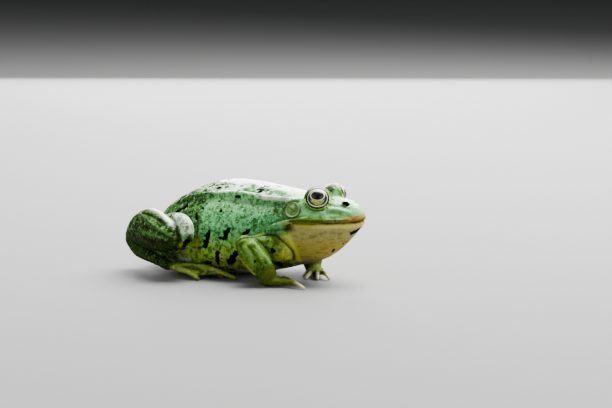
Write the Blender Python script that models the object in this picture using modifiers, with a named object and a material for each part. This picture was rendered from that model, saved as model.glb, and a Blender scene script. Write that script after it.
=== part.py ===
"""A life-size sitting green water frog (Pelophylax), as a still museum model.

The frog looks along +X with its left side towards +Y, and sits on the plane Z = 0.
Distances in the tables below are millimetres on a frog whose snout-vent length is
TABLE_LENGTH; the whole animal scales with SNOUT_VENT.

The flesh is made in groups (trunk with head, two arms, two legs). Each group is a set
of lofts and swept muscles fused by a voxel remesh, and is then parted into named solids:
plane cuts at the joints, and a clearance of GAP wherever one group lies on another.
"""

import math
from dataclasses import dataclass

import bmesh
import bpy
from mathutils import Matrix, Vector

# ---- driving dimensions -------------------------------------------------------------
SNOUT_VENT = 0.080  # metres, snout to vent
TABLE_LENGTH = 80.0  # the snout-vent length that the tables are written for
UNIT = SNOUT_VENT / TABLE_LENGTH  # metres for one table millimetre
GAP = 0.34  # clearance between neighbouring solids
SIDES = {"right": -1, "left": 1}

EYE_CENTRE = (-14.1, 6.1, 29.2)
EYE_RADIUS = 3.7
GAZE = (0.48, 0.85, 0.28)
LID_OPENING = 3.3  # radius of the gap between the lids
EARDRUM_CENTRE = (-20.8, 12.0, 25.8)
EARDRUM_RADIUS = 2.6
EARDRUM_DEPTH = 0.9
CHEEK_CENTRE = (-20.8, 9.2, 24.9)
CHEEK_RADII = (5.2, 3.2, 4.3)
MOUTH_HEIGHT = 21.2
NECK = -27.0

SKIN_COLOURS = {
    "back": (0.17, 0.33, 0.15, 1.0),
    "limb": (0.13, 0.24, 0.05, 1.0),
    "throat": (0.47, 0.40, 0.16, 1.0),
    "eardrum": (0.22, 0.33, 0.14, 1.0),
    "eye": (0.02, 0.02, 0.02, 1.0),
}


@dataclass
class Station:
    """One cross-section of the body: a superellipse split at its widest height."""

    x: float
    top: float
    bottom: float
    half_width: float
    widest: float
    roof: float  # exponent above the widest height; 2 is round, less is a ridge
    belly: float  # exponent below it; more than 2 is flatter


BODY = [
    Station(0.3, 23.4, 22.6, 0.3, 23.0, 2.0, 2.0),
    Station(-0.3, 24.7, 20.9, 2.6, 22.7, 2.0, 2.0),
    Station(-2.2, 26.6, 18.2, 5.1, 22.1, 1.9, 2.0),
    Station(-5.5, 27.8, 14.8, 7.6, 21.7, 1.85, 2.0),
    Station(-9.5, 28.8, 11.0, 9.8, 21.4, 1.9, 2.0),
    Station(-14.0, 29.2, 8.0, 11.8, 21.2, 2.0, 2.0),
    Station(-19.0, 29.9, 6.1, 13.2, 20.8, 2.15, 2.0),
    Station(-24.0, 30.5, 4.8, 14.0, 19.8, 2.1, 2.0),
    Station(-30.0, 31.4, 3.1, 15.0, 18.0, 1.95, 2.0),
    Station(-37.0, 32.4, 1.5, 16.6, 15.5, 1.8, 2.0),
    Station(-44.0, 33.0, 0.2, 18.2, 13.5, 1.75, 2.1),
    Station(-51.0, 33.0, -0.6, 19.0, 12.5, 1.75, 2.1),
    Station(-58.0, 31.9, -1.0, 18.4, 11.8, 1.75, 2.1),
    Station(-65.0, 29.5, -0.9, 16.2, 11.0, 1.8, 2.1),
    Station(-72.0, 26.1, 0.0, 12.6, 10.5, 1.85, 2.0),
    Station(-77.5, 22.6, 2.0, 9.0, 10.0, 1.9, 2.0),
    Station(-81.6, 18.0, 5.0, 5.4, 10.0, 2.0, 2.0),
    Station(-83.8, 12.0, 9.0, 0.6, 10.4, 2.0, 2.0),
]


# ---- small geometry helpers ---------------------------------------------------------
def spline(rows, steps):
    """Catmull-Rom rows between the given ones, `steps` to each span."""
    ends = [rows[0]] + list(rows) + [rows[-1]]
    out = []
    for i in range(1, len(ends) - 2):
        a, b, c, d = ends[i - 1 : i + 3]
        for k in range(steps):
            t = k / steps
            out.append(
                [
                    0.5 * (2 * q + (r - p) * t + (2 * p - 5 * q + 4 * r - s) * t * t
                           + (3 * q - p - 3 * r + s) * t ** 3)
                    for p, q, r, s in zip(a, b, c, d)
                ]
            )
    out.append(list(rows[-1]))
    return out


def power(value, exponent):
    return math.copysign(abs(value) ** exponent, value)


def mesh_of_rings(rings):
    """A closed bmesh through rings of equal length, with a fan over each end."""
    bm = bmesh.new()
    loops = [[bm.verts.new(Vector(p) * UNIT) for p in ring] for ring in rings]
    for one, two in zip(loops, loops[1:]):
        for i in range(len(one)):
            j = (i + 1) % len(one)
            bm.faces.new((one[i], one[j], two[j], two[i]))
    for loop in (loops[0], loops[-1]):
        middle = bm.verts.new(sum((v.co for v in loop), Vector()) / len(loop))
        for i in range(len(loop)):
            bm.faces.new((loop[i], loop[(i + 1) % len(loop)], middle))
    bmesh.ops.recalc_face_normals(bm, faces=bm.faces)
    return bm


def object_of(name, bm, collection=None):
    mesh = bpy.data.meshes.new(name)
    bm.to_mesh(mesh)
    bm.free()
    obj = bpy.data.objects.new(name, mesh)
    (collection or bpy.context.scene.collection).objects.link(obj)
    return obj


def body_loft(name):
    """The head and trunk in one hull, lofted through the stations."""
    rows = [[s.x, s.top, s.bottom, s.half_width, s.widest, s.roof, s.belly] for s in BODY]
    around = 48
    rings = []
    for x, top, bottom, half_width, widest, roof, belly in spline(rows, 4):
        ring = []
        for k in range(around):
            turn = math.tau * k / around
            up = math.sin(turn) >= 0
            exponent = 2 / (roof if up else belly)
            rise = (top - widest) if up else (widest - bottom)
            ring.append(
                (x, half_width * power(math.cos(turn), exponent),
                 widest + rise * power(math.sin(turn), exponent))
            )
        rings.append(ring)
    return object_of(name, mesh_of_rings(rings))


def sweep(name, knots, up=(0, 0, 1), sides=14, steps=5):
    """A muscle or digit: elliptical rings along a spline, with domed ends.

    Each knot is (x, y, z, half width, half height); height runs along `up`.
    """
    rows = spline(knots, steps)
    path = [Vector(r[:3]) for r in rows]
    rings = []

    def ring(centre, along, half_width, half_height):
        side = along.cross(Vector(up)).normalized()
        top = side.cross(along).normalized()
        rings.append(
            [
                centre + side * half_width * math.cos(math.tau * k / sides)
                + top * half_height * math.sin(math.tau * k / sides)
                for k in range(sides)
            ]
        )

    def dome(centre, along, half_width, half_height, angles):
        radius = min(half_width, half_height)
        for angle in angles:
            ring(centre + along * radius * math.sin(angle), along,
                 half_width * math.cos(angle), half_height * math.cos(angle))

    start = (path[1] - path[0]).normalized()
    end = (path[-1] - path[-2]).normalized()
    dome(path[0], start, rows[0][3], rows[0][4], [math.radians(a) for a in (-82, -55, -27)])
    for i, row in enumerate(rows):
        before, after = path[max(i - 1, 0)], path[min(i + 1, len(path) - 1)]
        ring(path[i], (after - before).normalized(), row[3], row[4])
    dome(path[-1], end, rows[-1][3], rows[-1][4], [math.radians(a) for a in (27, 55, 82)])
    return object_of(name, mesh_of_rings(rings))


def ellipsoid(name, centre, radii, nose=(1, 0, 0), segments=28, rings=18):
    """An ellipsoid whose first radius lies along `nose`."""
    bm = bmesh.new()
    bmesh.ops.create_uvsphere(bm, u_segments=segments, v_segments=rings, radius=1.0)
    along = Vector(nose).normalized()
    side = Vector((0, 0, 1)).cross(along).normalized()
    turn = Matrix((along, side, along.cross(side))).transposed().to_4x4()
    size = Matrix.Diagonal(Vector(radii) * UNIT).to_4x4()
    place = Matrix.Translation(Vector(centre) * UNIT) @ turn @ size
    bmesh.ops.transform(bm, matrix=place, verts=bm.verts)
    return object_of(name, bm)


def web(name, toe_a, toe_b, share, thickness=0.42):
    """A membrane between two toes, each a list of knots, over a share of their length."""
    a = spline([k[:3] for k in toe_a], 6)
    b = spline([k[:3] for k in toe_b], 6)
    count = 9
    rings = []
    for k in range(count):
        at = share * k / (count - 1)
        one = Vector(a[min(int(at * len(a)), len(a) - 1)])
        two = Vector(b[min(int(at * len(b)), len(b) - 1)])
        floor = Vector((0, 0, thickness))
        rings.append([one + floor, two + floor, two - floor, one - floor])
    return object_of(name, mesh_of_rings(rings))


# ---- mesh operations ----------------------------------------------------------------
def evaluated(obj):
    """The object's mesh with its modifiers, put in place of its own."""
    bpy.context.view_layer.update()
    graph = bpy.context.evaluated_depsgraph_get()
    mesh = bpy.data.meshes.new_from_object(obj.evaluated_get(graph))
    obj.modifiers.clear()
    old, obj.data = obj.data, mesh
    bpy.data.meshes.remove(old)
    return obj


def fuse(name, pieces, voxel, smoothing, triangles):
    """One skin over overlapping pieces: voxel remesh, smoothing, then thinning."""
    bm = bmesh.new()
    for piece in pieces:
        bm.from_mesh(piece.data)
        bpy.data.objects.remove(piece)
    obj = object_of(name, bm)
    remesh = obj.modifiers.new("one surface", "REMESH")
    remesh.mode = "VOXEL"
    remesh.voxel_size = voxel * UNIT
    smooth = obj.modifiers.new("flow", "SMOOTH")
    smooth.factor = 0.5
    smooth.iterations = smoothing
    evaluated(obj)
    thin = obj.modifiers.new("thin", "DECIMATE")
    thin.ratio = min(1.0, triangles / (2 * len(obj.data.polygons)))
    return evaluated(obj)


def grown(obj, by):
    """A copy of the object with its surface moved outwards, for use as a cutter."""
    bm = bmesh.new()
    bm.from_mesh(obj.data)
    for vert in bm.verts:
        vert.co += vert.normal * by * UNIT
    return object_of(obj.name + "_clearance", bm)


def subtract(obj, cutter):
    """Cuts a closed shape out of another object, and keeps the largest body."""
    cut = obj.modifiers.new("cut", "BOOLEAN")
    cut.operation = "DIFFERENCE"
    cut.solver = "EXACT"
    cut.object = cutter
    evaluated(obj)
    return keep_largest(obj)


def keep_largest(obj):
    """Drops every loose body but the one with the largest box."""
    bm = bmesh.new()
    bm.from_mesh(obj.data)
    seen = set()
    bodies = []
    for start in bm.verts:
        if start in seen:
            continue
        body, waiting = [], [start]
        seen.add(start)
        while waiting:
            vert = waiting.pop()
            body.append(vert)
            for edge in vert.link_edges:
                other = edge.other_vert(vert)
                if other not in seen:
                    seen.add(other)
                    waiting.append(other)
        bodies.append(body)
    bodies.sort(key=len)
    for body in bodies[:-1]:
        bmesh.ops.delete(bm, geom=body, context="VERTS")
    bm.to_mesh(obj.data)
    bm.free()
    return obj


def half(obj, point, normal):
    """Keeps the side of a plane that its normal points away from, and closes the cut."""
    bm = bmesh.new()
    bm.from_mesh(obj.data)
    found = bmesh.ops.bisect_plane(
        bm,
        geom=bm.verts[:] + bm.edges[:] + bm.faces[:],
        dist=1e-7,
        plane_co=Vector(point) * UNIT,
        plane_no=Vector(normal),
        clear_outer=True,
    )
    rim = [e for e in found["geom_cut"] if isinstance(e, bmesh.types.BMEdge)]
    if rim:
        bmesh.ops.triangle_fill(bm, edges=rim, use_beauty=True)
        bmesh.ops.recalc_face_normals(bm, faces=bm.faces)
    bm.to_mesh(obj.data)
    bm.free()
    return obj


def stand(obj):
    """Gives the object its flats on the floor."""
    return half(obj, (0, 0, 0), (0, 0, -1))


def copy_of(obj, name):
    other = bpy.data.objects.new(name, obj.data.copy())
    bpy.context.scene.collection.objects.link(other)
    return other


def parted(obj, name_before, name_after, point, normal):
    """Two solids either side of a plane, GAP apart; the first lies behind the normal."""
    along = Vector(normal).normalized()
    before = copy_of(obj, name_before)
    half(before, Vector(point) - along * GAP / 2, along)
    half(obj, Vector(point) + along * GAP / 2, -along)
    obj.name = name_after
    return keep_largest(before), keep_largest(obj)


def mirrored(point, side):
    return (point[0], point[1] * side, *point[2:])


# ---- the animal ---------------------------------------------------------------------
def torso():
    """Head and trunk: the hull with its jaw rims, brows and ear rings."""
    pieces = [body_loft("hull")]
    for name, side in SIDES.items():
        x, y, z = mirrored(EYE_CENTRE, side)
        pieces.append(ellipsoid(f"brow_{name}", (x, y * 0.96, z - 0.1), (5.0, 4.7, 4.4)))
        pieces.append(ellipsoid(f"cheek_{name}", mirrored(CHEEK_CENTRE, side), CHEEK_RADII))
        pieces.append(sweep(f"lip_{name}", [mirrored(k, side) for k in UPPER_LIP]))
        pieces.append(sweep(f"canthus_{name}", [mirrored(k, side) for k in SNOUT_RIDGE]))
        pieces.append(sweep(f"fold_{name}", [mirrored(k, side) for k in BACK_FOLD]))
    return fuse("torso", pieces, 0.6, 4, 1720)


UPPER_LIP = [
    (-0.9, 1.0, 22.6, 0.9, 1.0),
    (-2.9, 5.3, 22.4, 0.9, 1.1),
    (-6.5, 8.1, 22.2, 0.9, 1.1),
    (-12.0, 10.9, 22.1, 0.9, 1.1),
    (-18.0, 12.9, 22.0, 0.9, 1.1),
    (-22.0, 13.7, 21.5, 0.8, 1.0),
]
SNOUT_RIDGE = [
    (-3.2, 2.4, 25.1, 0.8, 0.7),
    (-6.0, 3.6, 26.3, 1.0, 0.8),
    (-9.5, 5.0, 27.3, 1.0, 0.8),
]
BACK_FOLD = [
    (-19.0, 8.8, 28.2, 0.9, 0.9),
    (-26.0, 9.4, 28.5, 1.0, 1.0),
    (-36.0, 10.0, 28.7, 1.1, 1.1),
    (-47.0, 10.2, 28.8, 1.1, 1.1),
    (-58.0, 9.7, 27.5, 1.1, 1.1),
    (-66.0, 8.2, 25.8, 1.0, 1.0),
    (-74.0, 6.0, 21.8, 0.9, 0.9),
]


@dataclass
class Arm:
    """Places along one forelimb, before its side is applied."""

    shoulder: tuple
    elbow: tuple
    wrist: tuple
    palm: tuple  # from its heel to its finger end
    fingertips: tuple


ARMS = {
    "right": Arm(
        shoulder=(-27.5, 11.6, 12.2),
        elbow=(-33.2, 21.0, 12.9),
        wrist=(-26.0, 19.4, 3.9),
        palm=((-28.0, 19.4, 2.2), (-21.6, 18.4, 1.7)),
        fingertips=((-25.6, 10.6), (-22.0, 9.2), (-18.3, 12.6), (-11.6, 19.2)),
    ),
    "left": Arm(
        shoulder=(-27.5, 11.6, 12.2),
        elbow=(-32.6, 19.4, 12.2),
        wrist=(-25.4, 9.4, 4.4),
        palm=((-25.8, 9.6, 2.4), (-21.2, 5.6, 1.7)),
        fingertips=((-24.4, 1.6), (-21.4, -1.4), (-17.2, -0.8), (-13.6, 1.0)),
    ),
}
# Each row is a share of the way along the bone, the half width and the half height.
UPPER_ARM_SWELL = ((-0.2, 5.2, 5.0), (0.2, 4.9, 5.0), (0.6, 4.3, 4.5), (0.95, 3.5, 3.7))
FOREARM_SWELL = (
    (-0.1, 3.3, 3.4), (0.15, 4.1, 4.1), (0.5, 4.1, 4.3), (0.8, 3.7, 4.1), (1.0, 3.0, 3.5)
)
FINGER = (0.98, 0.85)  # half thickness in the middle and near the tip


def arm(name):
    """Upper arm, forearm and hand of one side, as separate solids."""
    side = SIDES[name]
    made = ARMS[name]
    shoulder, elbow, wrist = (
        Vector(mirrored(p, side)) for p in (made.shoulder, made.elbow, made.wrist)
    )
    heel, knuckles = (Vector(mirrored(p, side)) for p in made.palm)
    middle, slim = FINGER
    pieces = [
        sweep("upper", [(*shoulder.lerp(elbow, share), wide, deep)
                        for share, wide, deep in UPPER_ARM_SWELL]),
        sweep("fore", [(*elbow.lerp(wrist, share), wide, deep)
                       for share, wide, deep in FOREARM_SWELL], up=(1, 0, 0)),
        sweep("wrist", [(*wrist, 2.9, 3.1), (*heel.lerp(knuckles, 0.35), 2.6, 2.2)],
              up=(1, 0, 0)),
        sweep("palm", [(*heel, 2.5, 1.7), (*heel.lerp(knuckles, 0.5), 3.0, 1.8),
                       (*knuckles, 2.5, 1.3)]),
    ]
    for number, (x, y) in enumerate(made.fingertips):
        tip = Vector((x, y * side, slim - 0.1))
        base = heel.lerp(knuckles, 0.55 + 0.15 * number)
        base.z = 1.6
        knuckle = base.lerp(tip, 0.5) + Vector((0, 0, 1.0))
        bend = knuckle.lerp(tip, 0.6) + Vector((0, 0, 0.3))
        pieces.append(
            sweep(f"finger_{number}", [(*base, 1.2, 1.2), (*knuckle, middle, middle),
                                       (*bend, slim, slim), (*tip, slim - 0.05, slim - 0.05)],
                  sides=10)
        )
    whole = fuse(f"{name}_forelimb", pieces, 0.4, 3, 800)
    fold = (wrist - elbow).normalized() - (shoulder - elbow).normalized()
    upper, lower = parted(whole, f"{name}_upper_arm", "lower", elbow, fold)
    forearm, hand = parted(
        lower, f"{name}_forearm", f"{name}_hand", elbow.lerp(wrist, 0.86), wrist - elbow
    )
    return upper, forearm, hand


# Each row of a limb is x, y, z, half width, half height.
THIGH = (
    (-79.0, 2.5, 10.9, 6.3, 6.6),
    (-73.0, 9.5, 12.0, 7.2, 7.6),
    (-67.0, 16.5, 14.3, 6.8, 7.3),
    (-61.0, 21.6, 16.6, 5.0, 6.3),
    (-56.9, 23.6, 16.8, 3.3, 5.6),
)
SHANK = (
    (-60.5, 26.2, 15.2, 3.6, 4.8),
    (-65.0, 24.4, 15.5, 4.9, 6.2),
    (-71.0, 20.9, 15.8, 5.2, 7.1),
    (-76.5, 18.0, 15.7, 5.0, 6.8),
    (-81.6, 15.5, 14.4, 4.1, 5.3),
    (-85.8, 13.3, 12.0, 2.9, 3.5),
)
TARSUS = (
    (-86.0, 13.0, 10.6, 2.9, 3.1),
    (-82.6, 14.0, 7.6, 2.9, 3.0),
    (-77.5, 15.8, 6.0, 2.4, 2.4),
    (-71.8, 17.6, 4.7, 2.2, 1.9),
    (-67.0, 19.0, 3.6, 2.4, 1.7),
)
TOES = (  # the middle and the tip of each toe, first to fifth
    ((-62.5, 15.4, 2.2), (-59.5, 13.6, 0.55)),
    ((-59.5, 15.8, 2.4), (-54.5, 13.4, 0.55)),
    ((-56.5, 16.8, 2.8), (-48.5, 13.6, 0.55)),
    ((-53.0, 18.0, 4.0), (-42.2, 14.6, 0.6)),
    ((-59.5, 21.4, 2.9), (-52.2, 22.4, 0.55)),
)
KNEE_FOLD = ((-58.4, 25.6, 15.0), (0.578, -0.816, 0.0))  # point and normal of the parting
ANKLE = 0.88  # share of the tarsus where the foot starts


def leg(name):
    """Thigh, shank, tarsus and webbed foot of one side, folded, as separate solids."""
    side = SIDES[name]
    thigh, shank, tarsus = ([mirrored(k, side) for k in rows] for rows in (THIGH, SHANK, TARSUS))
    folded = fuse(f"{name}_leg", [sweep("thigh", thigh), sweep("shank", shank)], 0.6, 3, 560)
    point, normal = (mirrored(v, side) for v in KNEE_FOLD)
    middle, upper = parted(folded, f"{name}_shank", f"{name}_thigh", point, normal)
    ankle = Vector(tarsus[-1][:3])
    pieces = [sweep("tarsus", tarsus)]
    toes = []
    for middle_point, tip in TOES:
        joint, end = (Vector(mirrored(p, side)) for p in (middle_point, tip))
        bend = joint.lerp(end, 0.55) + Vector((0, 0, 0.35))
        toes.append(
            [(*ankle.lerp(joint, 0.05), 1.15, 1.2), (*joint, 0.95, 0.95),
             (*bend, 0.8, 0.8), (*end, 0.7, 0.7)]
        )
    pieces += [sweep(f"toe_{i}", knots, sides=10) for i, knots in enumerate(toes)]
    pieces += [web(f"web_{i}", a, b, 0.78) for i, (a, b) in enumerate(zip(toes, toes[1:]))]
    lower = fuse(f"{name}_paddle", pieces, 0.36, 2, 780)
    before = Vector(tarsus[-2][:3])
    tarsus, foot = parted(
        lower, f"{name}_tarsus", f"{name}_foot", before.lerp(ankle, ANKLE), ankle - before
    )
    return upper, middle, tarsus, foot


def eardrum(name, grow=0.0):
    """A thin disc facing out of the cheek."""
    side = SIDES[name]
    bm = bmesh.new()
    bmesh.ops.create_cone(
        bm, cap_ends=True, segments=16, radius1=(EARDRUM_RADIUS + grow) * UNIT,
        radius2=(EARDRUM_RADIUS + grow) * UNIT, depth=(EARDRUM_DEPTH + 2 * grow) * UNIT,
    )
    outward = Vector((0.1, side, 0.2)).normalized()
    turn = outward.to_track_quat("Z", "Y").to_matrix().to_4x4()
    place = Matrix.Translation(Vector(mirrored(EARDRUM_CENTRE, side)) * UNIT)
    bmesh.ops.transform(bm, matrix=place @ turn, verts=bm.verts)
    return object_of(f"{name}_eardrum", bm)


def eyeball(name, grow=0.0):
    """A full eyeball; the lids and the socket stand clear of it."""
    side = SIDES[name]
    bm = bmesh.new()
    bmesh.ops.create_uvsphere(
        bm, u_segments=14, v_segments=9, radius=(EYE_RADIUS + grow) * UNIT
    )
    place = Matrix.Translation(Vector(mirrored(EYE_CENTRE, side)) * UNIT)
    bmesh.ops.transform(bm, matrix=place, verts=bm.verts)
    return object_of(f"{name}_eye", bm)


def lid_gap(name):
    """The cutter that opens the lids along the gaze."""
    bm = bmesh.new()
    bmesh.ops.create_cone(
        bm, cap_ends=True, segments=16, radius1=LID_OPENING * UNIT,
        radius2=LID_OPENING * 1.5 * UNIT, depth=6.0 * UNIT,
    )
    gaze = Vector(mirrored(GAZE, SIDES[name])).normalized()
    turn = gaze.to_track_quat("Z", "Y").to_matrix().to_4x4()
    centre = Vector(mirrored(EYE_CENTRE, SIDES[name])) + gaze * 4.2
    bmesh.ops.transform(bm, matrix=Matrix.Translation(centre * UNIT) @ turn, verts=bm.verts)
    return object_of(f"{name}_lid_gap", bm)


def painted(obj, look, roughness):
    material = bpy.data.materials.get(look) or bpy.data.materials.new(look)
    material.use_nodes = True
    shader = material.node_tree.nodes["Principled BSDF"]
    shader.inputs["Base Color"].default_value = SKIN_COLOURS[look]
    shader.inputs["Roughness"].default_value = roughness
    shader.inputs["Metallic"].default_value = 0.0
    obj.data.materials.clear()
    obj.data.materials.append(material)


def centred(objects):
    """Moves the whole animal so that the origin is under the middle of its box."""
    corners = [v.co for obj in objects for v in obj.data.vertices]
    middle = Vector(
        [(min(c[i] for c in corners) + max(c[i] for c in corners)) / 2 for i in (0, 1)] + [0]
    )
    for obj in objects:
        obj.data.transform(Matrix.Translation(-middle))


def build():
    for obj in list(bpy.data.objects):
        bpy.data.objects.remove(obj)
    body = torso()
    clear_body = grown(body, GAP)
    solids = {"limb": [], "back": [], "throat": [], "eardrum": [], "eye": []}
    helpers = [clear_body]
    for name in SIDES:
        eye, drum = eyeball(name), eardrum(name)
        # the gap comes first, so that the socket is never a closed hollow
        for cutter in (lid_gap(name), eyeball(name, GAP), eardrum(name, GAP)):
            subtract(body, cutter)
            helpers.append(cutter)
        solids["eye"].append(eye)
        solids["eardrum"].append(drum)

        thigh, shank, tarsus, foot = leg(name)
        clear_thigh, clear_shank = grown(thigh, GAP), grown(shank, GAP)
        helpers += [clear_thigh, clear_shank]
        for piece in (tarsus, foot):
            subtract(piece, clear_shank)
            subtract(piece, clear_thigh)
        limbs = [*arm(name), thigh, shank, tarsus, foot]
        for piece in limbs:
            subtract(piece, clear_body)
        half(thigh, (0, SIDES[name] * GAP, 0), (0, -SIDES[name], 0))
        solids["limb"] += limbs

    trunk, head = parted(body, "trunk", "whole_head", (NECK, 0, 0), (1, 0, 0))
    lower, upper = parted(head, "lower_jaw", "head", (0, 0, MOUTH_HEIGHT), (0, 0, 1))
    solids["back"] += [trunk, upper]
    solids["throat"].append(lower)
    for helper in helpers:
        bpy.data.objects.remove(helper)
    everything = [obj for group in solids.values() for obj in group]
    for look, group in solids.items():
        for obj in group:
            painted(obj, look, 0.1 if look == "eye" else 0.45)
            if look != "eye":
                stand(obj)
            obj.data.shade_smooth()
    centred(everything)
    frog = bpy.data.collections.new("green_water_frog")
    bpy.context.scene.collection.children.link(frog)
    for obj in everything:
        for old in list(obj.users_collection):
            old.objects.unlink(obj)
        frog.objects.link(obj)


build()
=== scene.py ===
"""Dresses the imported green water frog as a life-size museum model.

One hide covers the whole animal. The head and trunk are lofted, muscles, digits and
webs are bridged from rings, and all of them are fused into a single surface. Folds,
lips, lids, nostrils and warts are then worked into it with modelling strokes, and the
pigments are laid on it as washes and marks. The eyeballs are pieces of their own.

Places are in the maker's millimetres: x is 0 at the snout and falls towards the rump,
y is the distance from the midline and z the height over the floor. `Bench` moves them
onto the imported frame.
"""

from __future__ import annotations

import logging
import math
from dataclasses import dataclass, field
from enum import Enum
from typing import Callable, Sequence

import bmesh
import bpy
import numpy as np
from mathutils import Matrix, Vector, noise


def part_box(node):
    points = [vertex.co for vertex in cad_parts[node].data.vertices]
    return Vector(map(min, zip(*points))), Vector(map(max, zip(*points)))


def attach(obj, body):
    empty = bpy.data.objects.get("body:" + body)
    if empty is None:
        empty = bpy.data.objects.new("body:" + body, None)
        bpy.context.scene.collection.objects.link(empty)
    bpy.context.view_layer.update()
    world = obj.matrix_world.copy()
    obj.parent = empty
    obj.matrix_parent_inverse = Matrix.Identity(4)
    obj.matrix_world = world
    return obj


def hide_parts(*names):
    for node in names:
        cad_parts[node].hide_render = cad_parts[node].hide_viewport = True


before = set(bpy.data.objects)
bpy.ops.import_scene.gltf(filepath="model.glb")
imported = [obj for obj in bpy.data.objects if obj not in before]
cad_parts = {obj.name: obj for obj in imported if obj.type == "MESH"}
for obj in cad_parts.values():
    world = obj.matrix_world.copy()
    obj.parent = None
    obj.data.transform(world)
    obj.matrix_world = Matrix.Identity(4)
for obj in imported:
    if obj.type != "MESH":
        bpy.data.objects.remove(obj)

LOG = logging.getLogger("frog")
MM = 0.001  # metres in one of the maker's millimetres
SEED = 7
ROOT_BODY = "root"

Point = tuple[float, float, float]
Colour = tuple[float, float, float, float]  # scene-linear, with its alpha
Array = np.ndarray


# ---- small tools --------------------------------------------------------------------
class Side(Enum):
    """The two sides of the animal, as the sign of y."""

    RIGHT = -1
    LEFT = 1

    @property
    def prefix(self) -> str:
        """The side as the CAD nodes name it."""
        return self.name.lower()

    def of(self, row: Sequence[float]) -> tuple[float, ...]:
        """The same row of numbers on this side."""
        return (row[0], row[1] * self.value, *row[2:])


def spline(rows: Sequence[Sequence[float]], steps: int) -> list[list[float]]:
    """Rows on a smooth curve through the given rows.

    Args:
        rows: The rows that the curve goes through.
        steps: How many rows each span is divided into.

    Returns:
        The divided rows, from the first to the last.
    """
    ends = [rows[0], *rows, rows[-1]]
    found = []
    for one, two, three, four in zip(ends, ends[1:], ends[2:], ends[3:]):
        for step in range(steps):
            t = step / steps
            found.append([
                0.5 * (2 * b + (c - a) * t + (2 * a - 5 * b + 4 * c - d) * t * t
                       + (3 * b - a - 3 * c + d) * t ** 3)
                for a, b, c, d in zip(one, two, three, four)
            ])
    found.append(list(rows[-1]))
    return found


def ease(value: Array, low: float, high: float) -> Array:
    """A soft step that is 0 at `low` and 1 at `high`, which may be the smaller one."""
    t = np.clip((value - low) / (high - low), 0.0, 1.0)
    return t * t * (3.0 - 2.0 * t)


def window(value: Array, low: float, full: float, ebb: float, high: float) -> Array:
    """Rises softly from 0 at `low` to 1 at `full`, and falls from `ebb` to 0 at `high`."""
    return ease(value, low, full) * ease(value, high, ebb)


def bell(value: Array, middle: float, width: float) -> Array:
    """1 at the middle, falling off smoothly over the width on both sides of it."""
    return np.exp(-((value - middle) / width) ** 2)


def ball(points: Array, centre: Point, radii: Point, soft: float = 0.5) -> Array:
    """How far points lie inside an ellipsoid.

    Args:
        points: The points to ask about.
        centre: The middle of the ellipsoid.
        radii: Its three radii.
        soft: The share of the radii over which the edge fades.

    Returns:
        1 well inside the ellipsoid, 0 outside it.
    """
    reach = np.linalg.norm((points - np.array(centre)) / np.array(radii), axis=1)
    return ease(reach, 1.0, 1.0 - soft)


def wander(points: Array, size: float | Point, seed: float) -> Array:
    """Smooth noise over the points, about -1 to 1.

    Args:
        points: Where to read it.
        size: The distance between its swells, in all directions or in x, y and z.
        seed: Shifts the pattern.

    Returns:
        One value for each point.
    """
    shift = np.array((13.7, 5.1, 9.3)) * seed
    return np.array([noise.noise(Vector(p)) for p in (points / size + shift).tolist()])


def as_mesh(bm: bmesh.types.BMesh, name: str) -> bpy.types.Mesh:
    """Makes a mesh of a bmesh, and frees the bmesh."""
    mesh = bpy.data.meshes.new(name)
    bm.to_mesh(mesh)
    bm.free()
    return mesh


def linked(name: str, data: bpy.types.ID) -> bpy.types.Object:
    """Makes an object and links it to the scene."""
    made = bpy.data.objects.new(name, data)
    bpy.context.scene.collection.objects.link(made)
    return made


# ---- forms --------------------------------------------------------------------------
@dataclass
class Loft:
    """A closed form bridged through rings with the same number of sides."""

    sides: int
    bm: bmesh.types.BMesh = field(default_factory=bmesh.new)
    last: list[bmesh.types.BMEdge] = field(default_factory=list)

    def ring(
        self,
        place: Matrix,
        bend: Callable[[Vector], Vector] | None = None,
        closed: bool = False,
    ) -> None:
        """Adds a ring, and bridges it to the one before.

        Args:
            place: Carries a unit circle in the XY plane to its place and size.
            bend: Reshapes the unit circle first.
            closed: Whether the ring gets a face, as the first and last ones do.
        """
        made = bmesh.ops.create_circle(
            self.bm, cap_ends=closed, segments=self.sides, radius=1.0
        )["verts"]
        for vert in made:
            vert.co = place @ (bend(vert.co) if bend else vert.co)
        edges = list({edge for vert in made for edge in vert.link_edges})
        if self.last:
            bmesh.ops.bridge_loops(self.bm, edges=self.last + edges)
        self.last = edges

    def finish(self) -> bmesh.types.BMesh:
        """The closed form, with its faces pointing outwards."""
        bmesh.ops.recalc_face_normals(self.bm, faces=self.bm.faces)
        return self.bm


def placed(across: Vector, upward: Vector, along: Vector, centre: Vector) -> Matrix:
    """A matrix with these three axes and this origin."""
    place = Matrix((across, upward, along)).transposed().to_4x4()
    place.translation = centre
    return place


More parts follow.
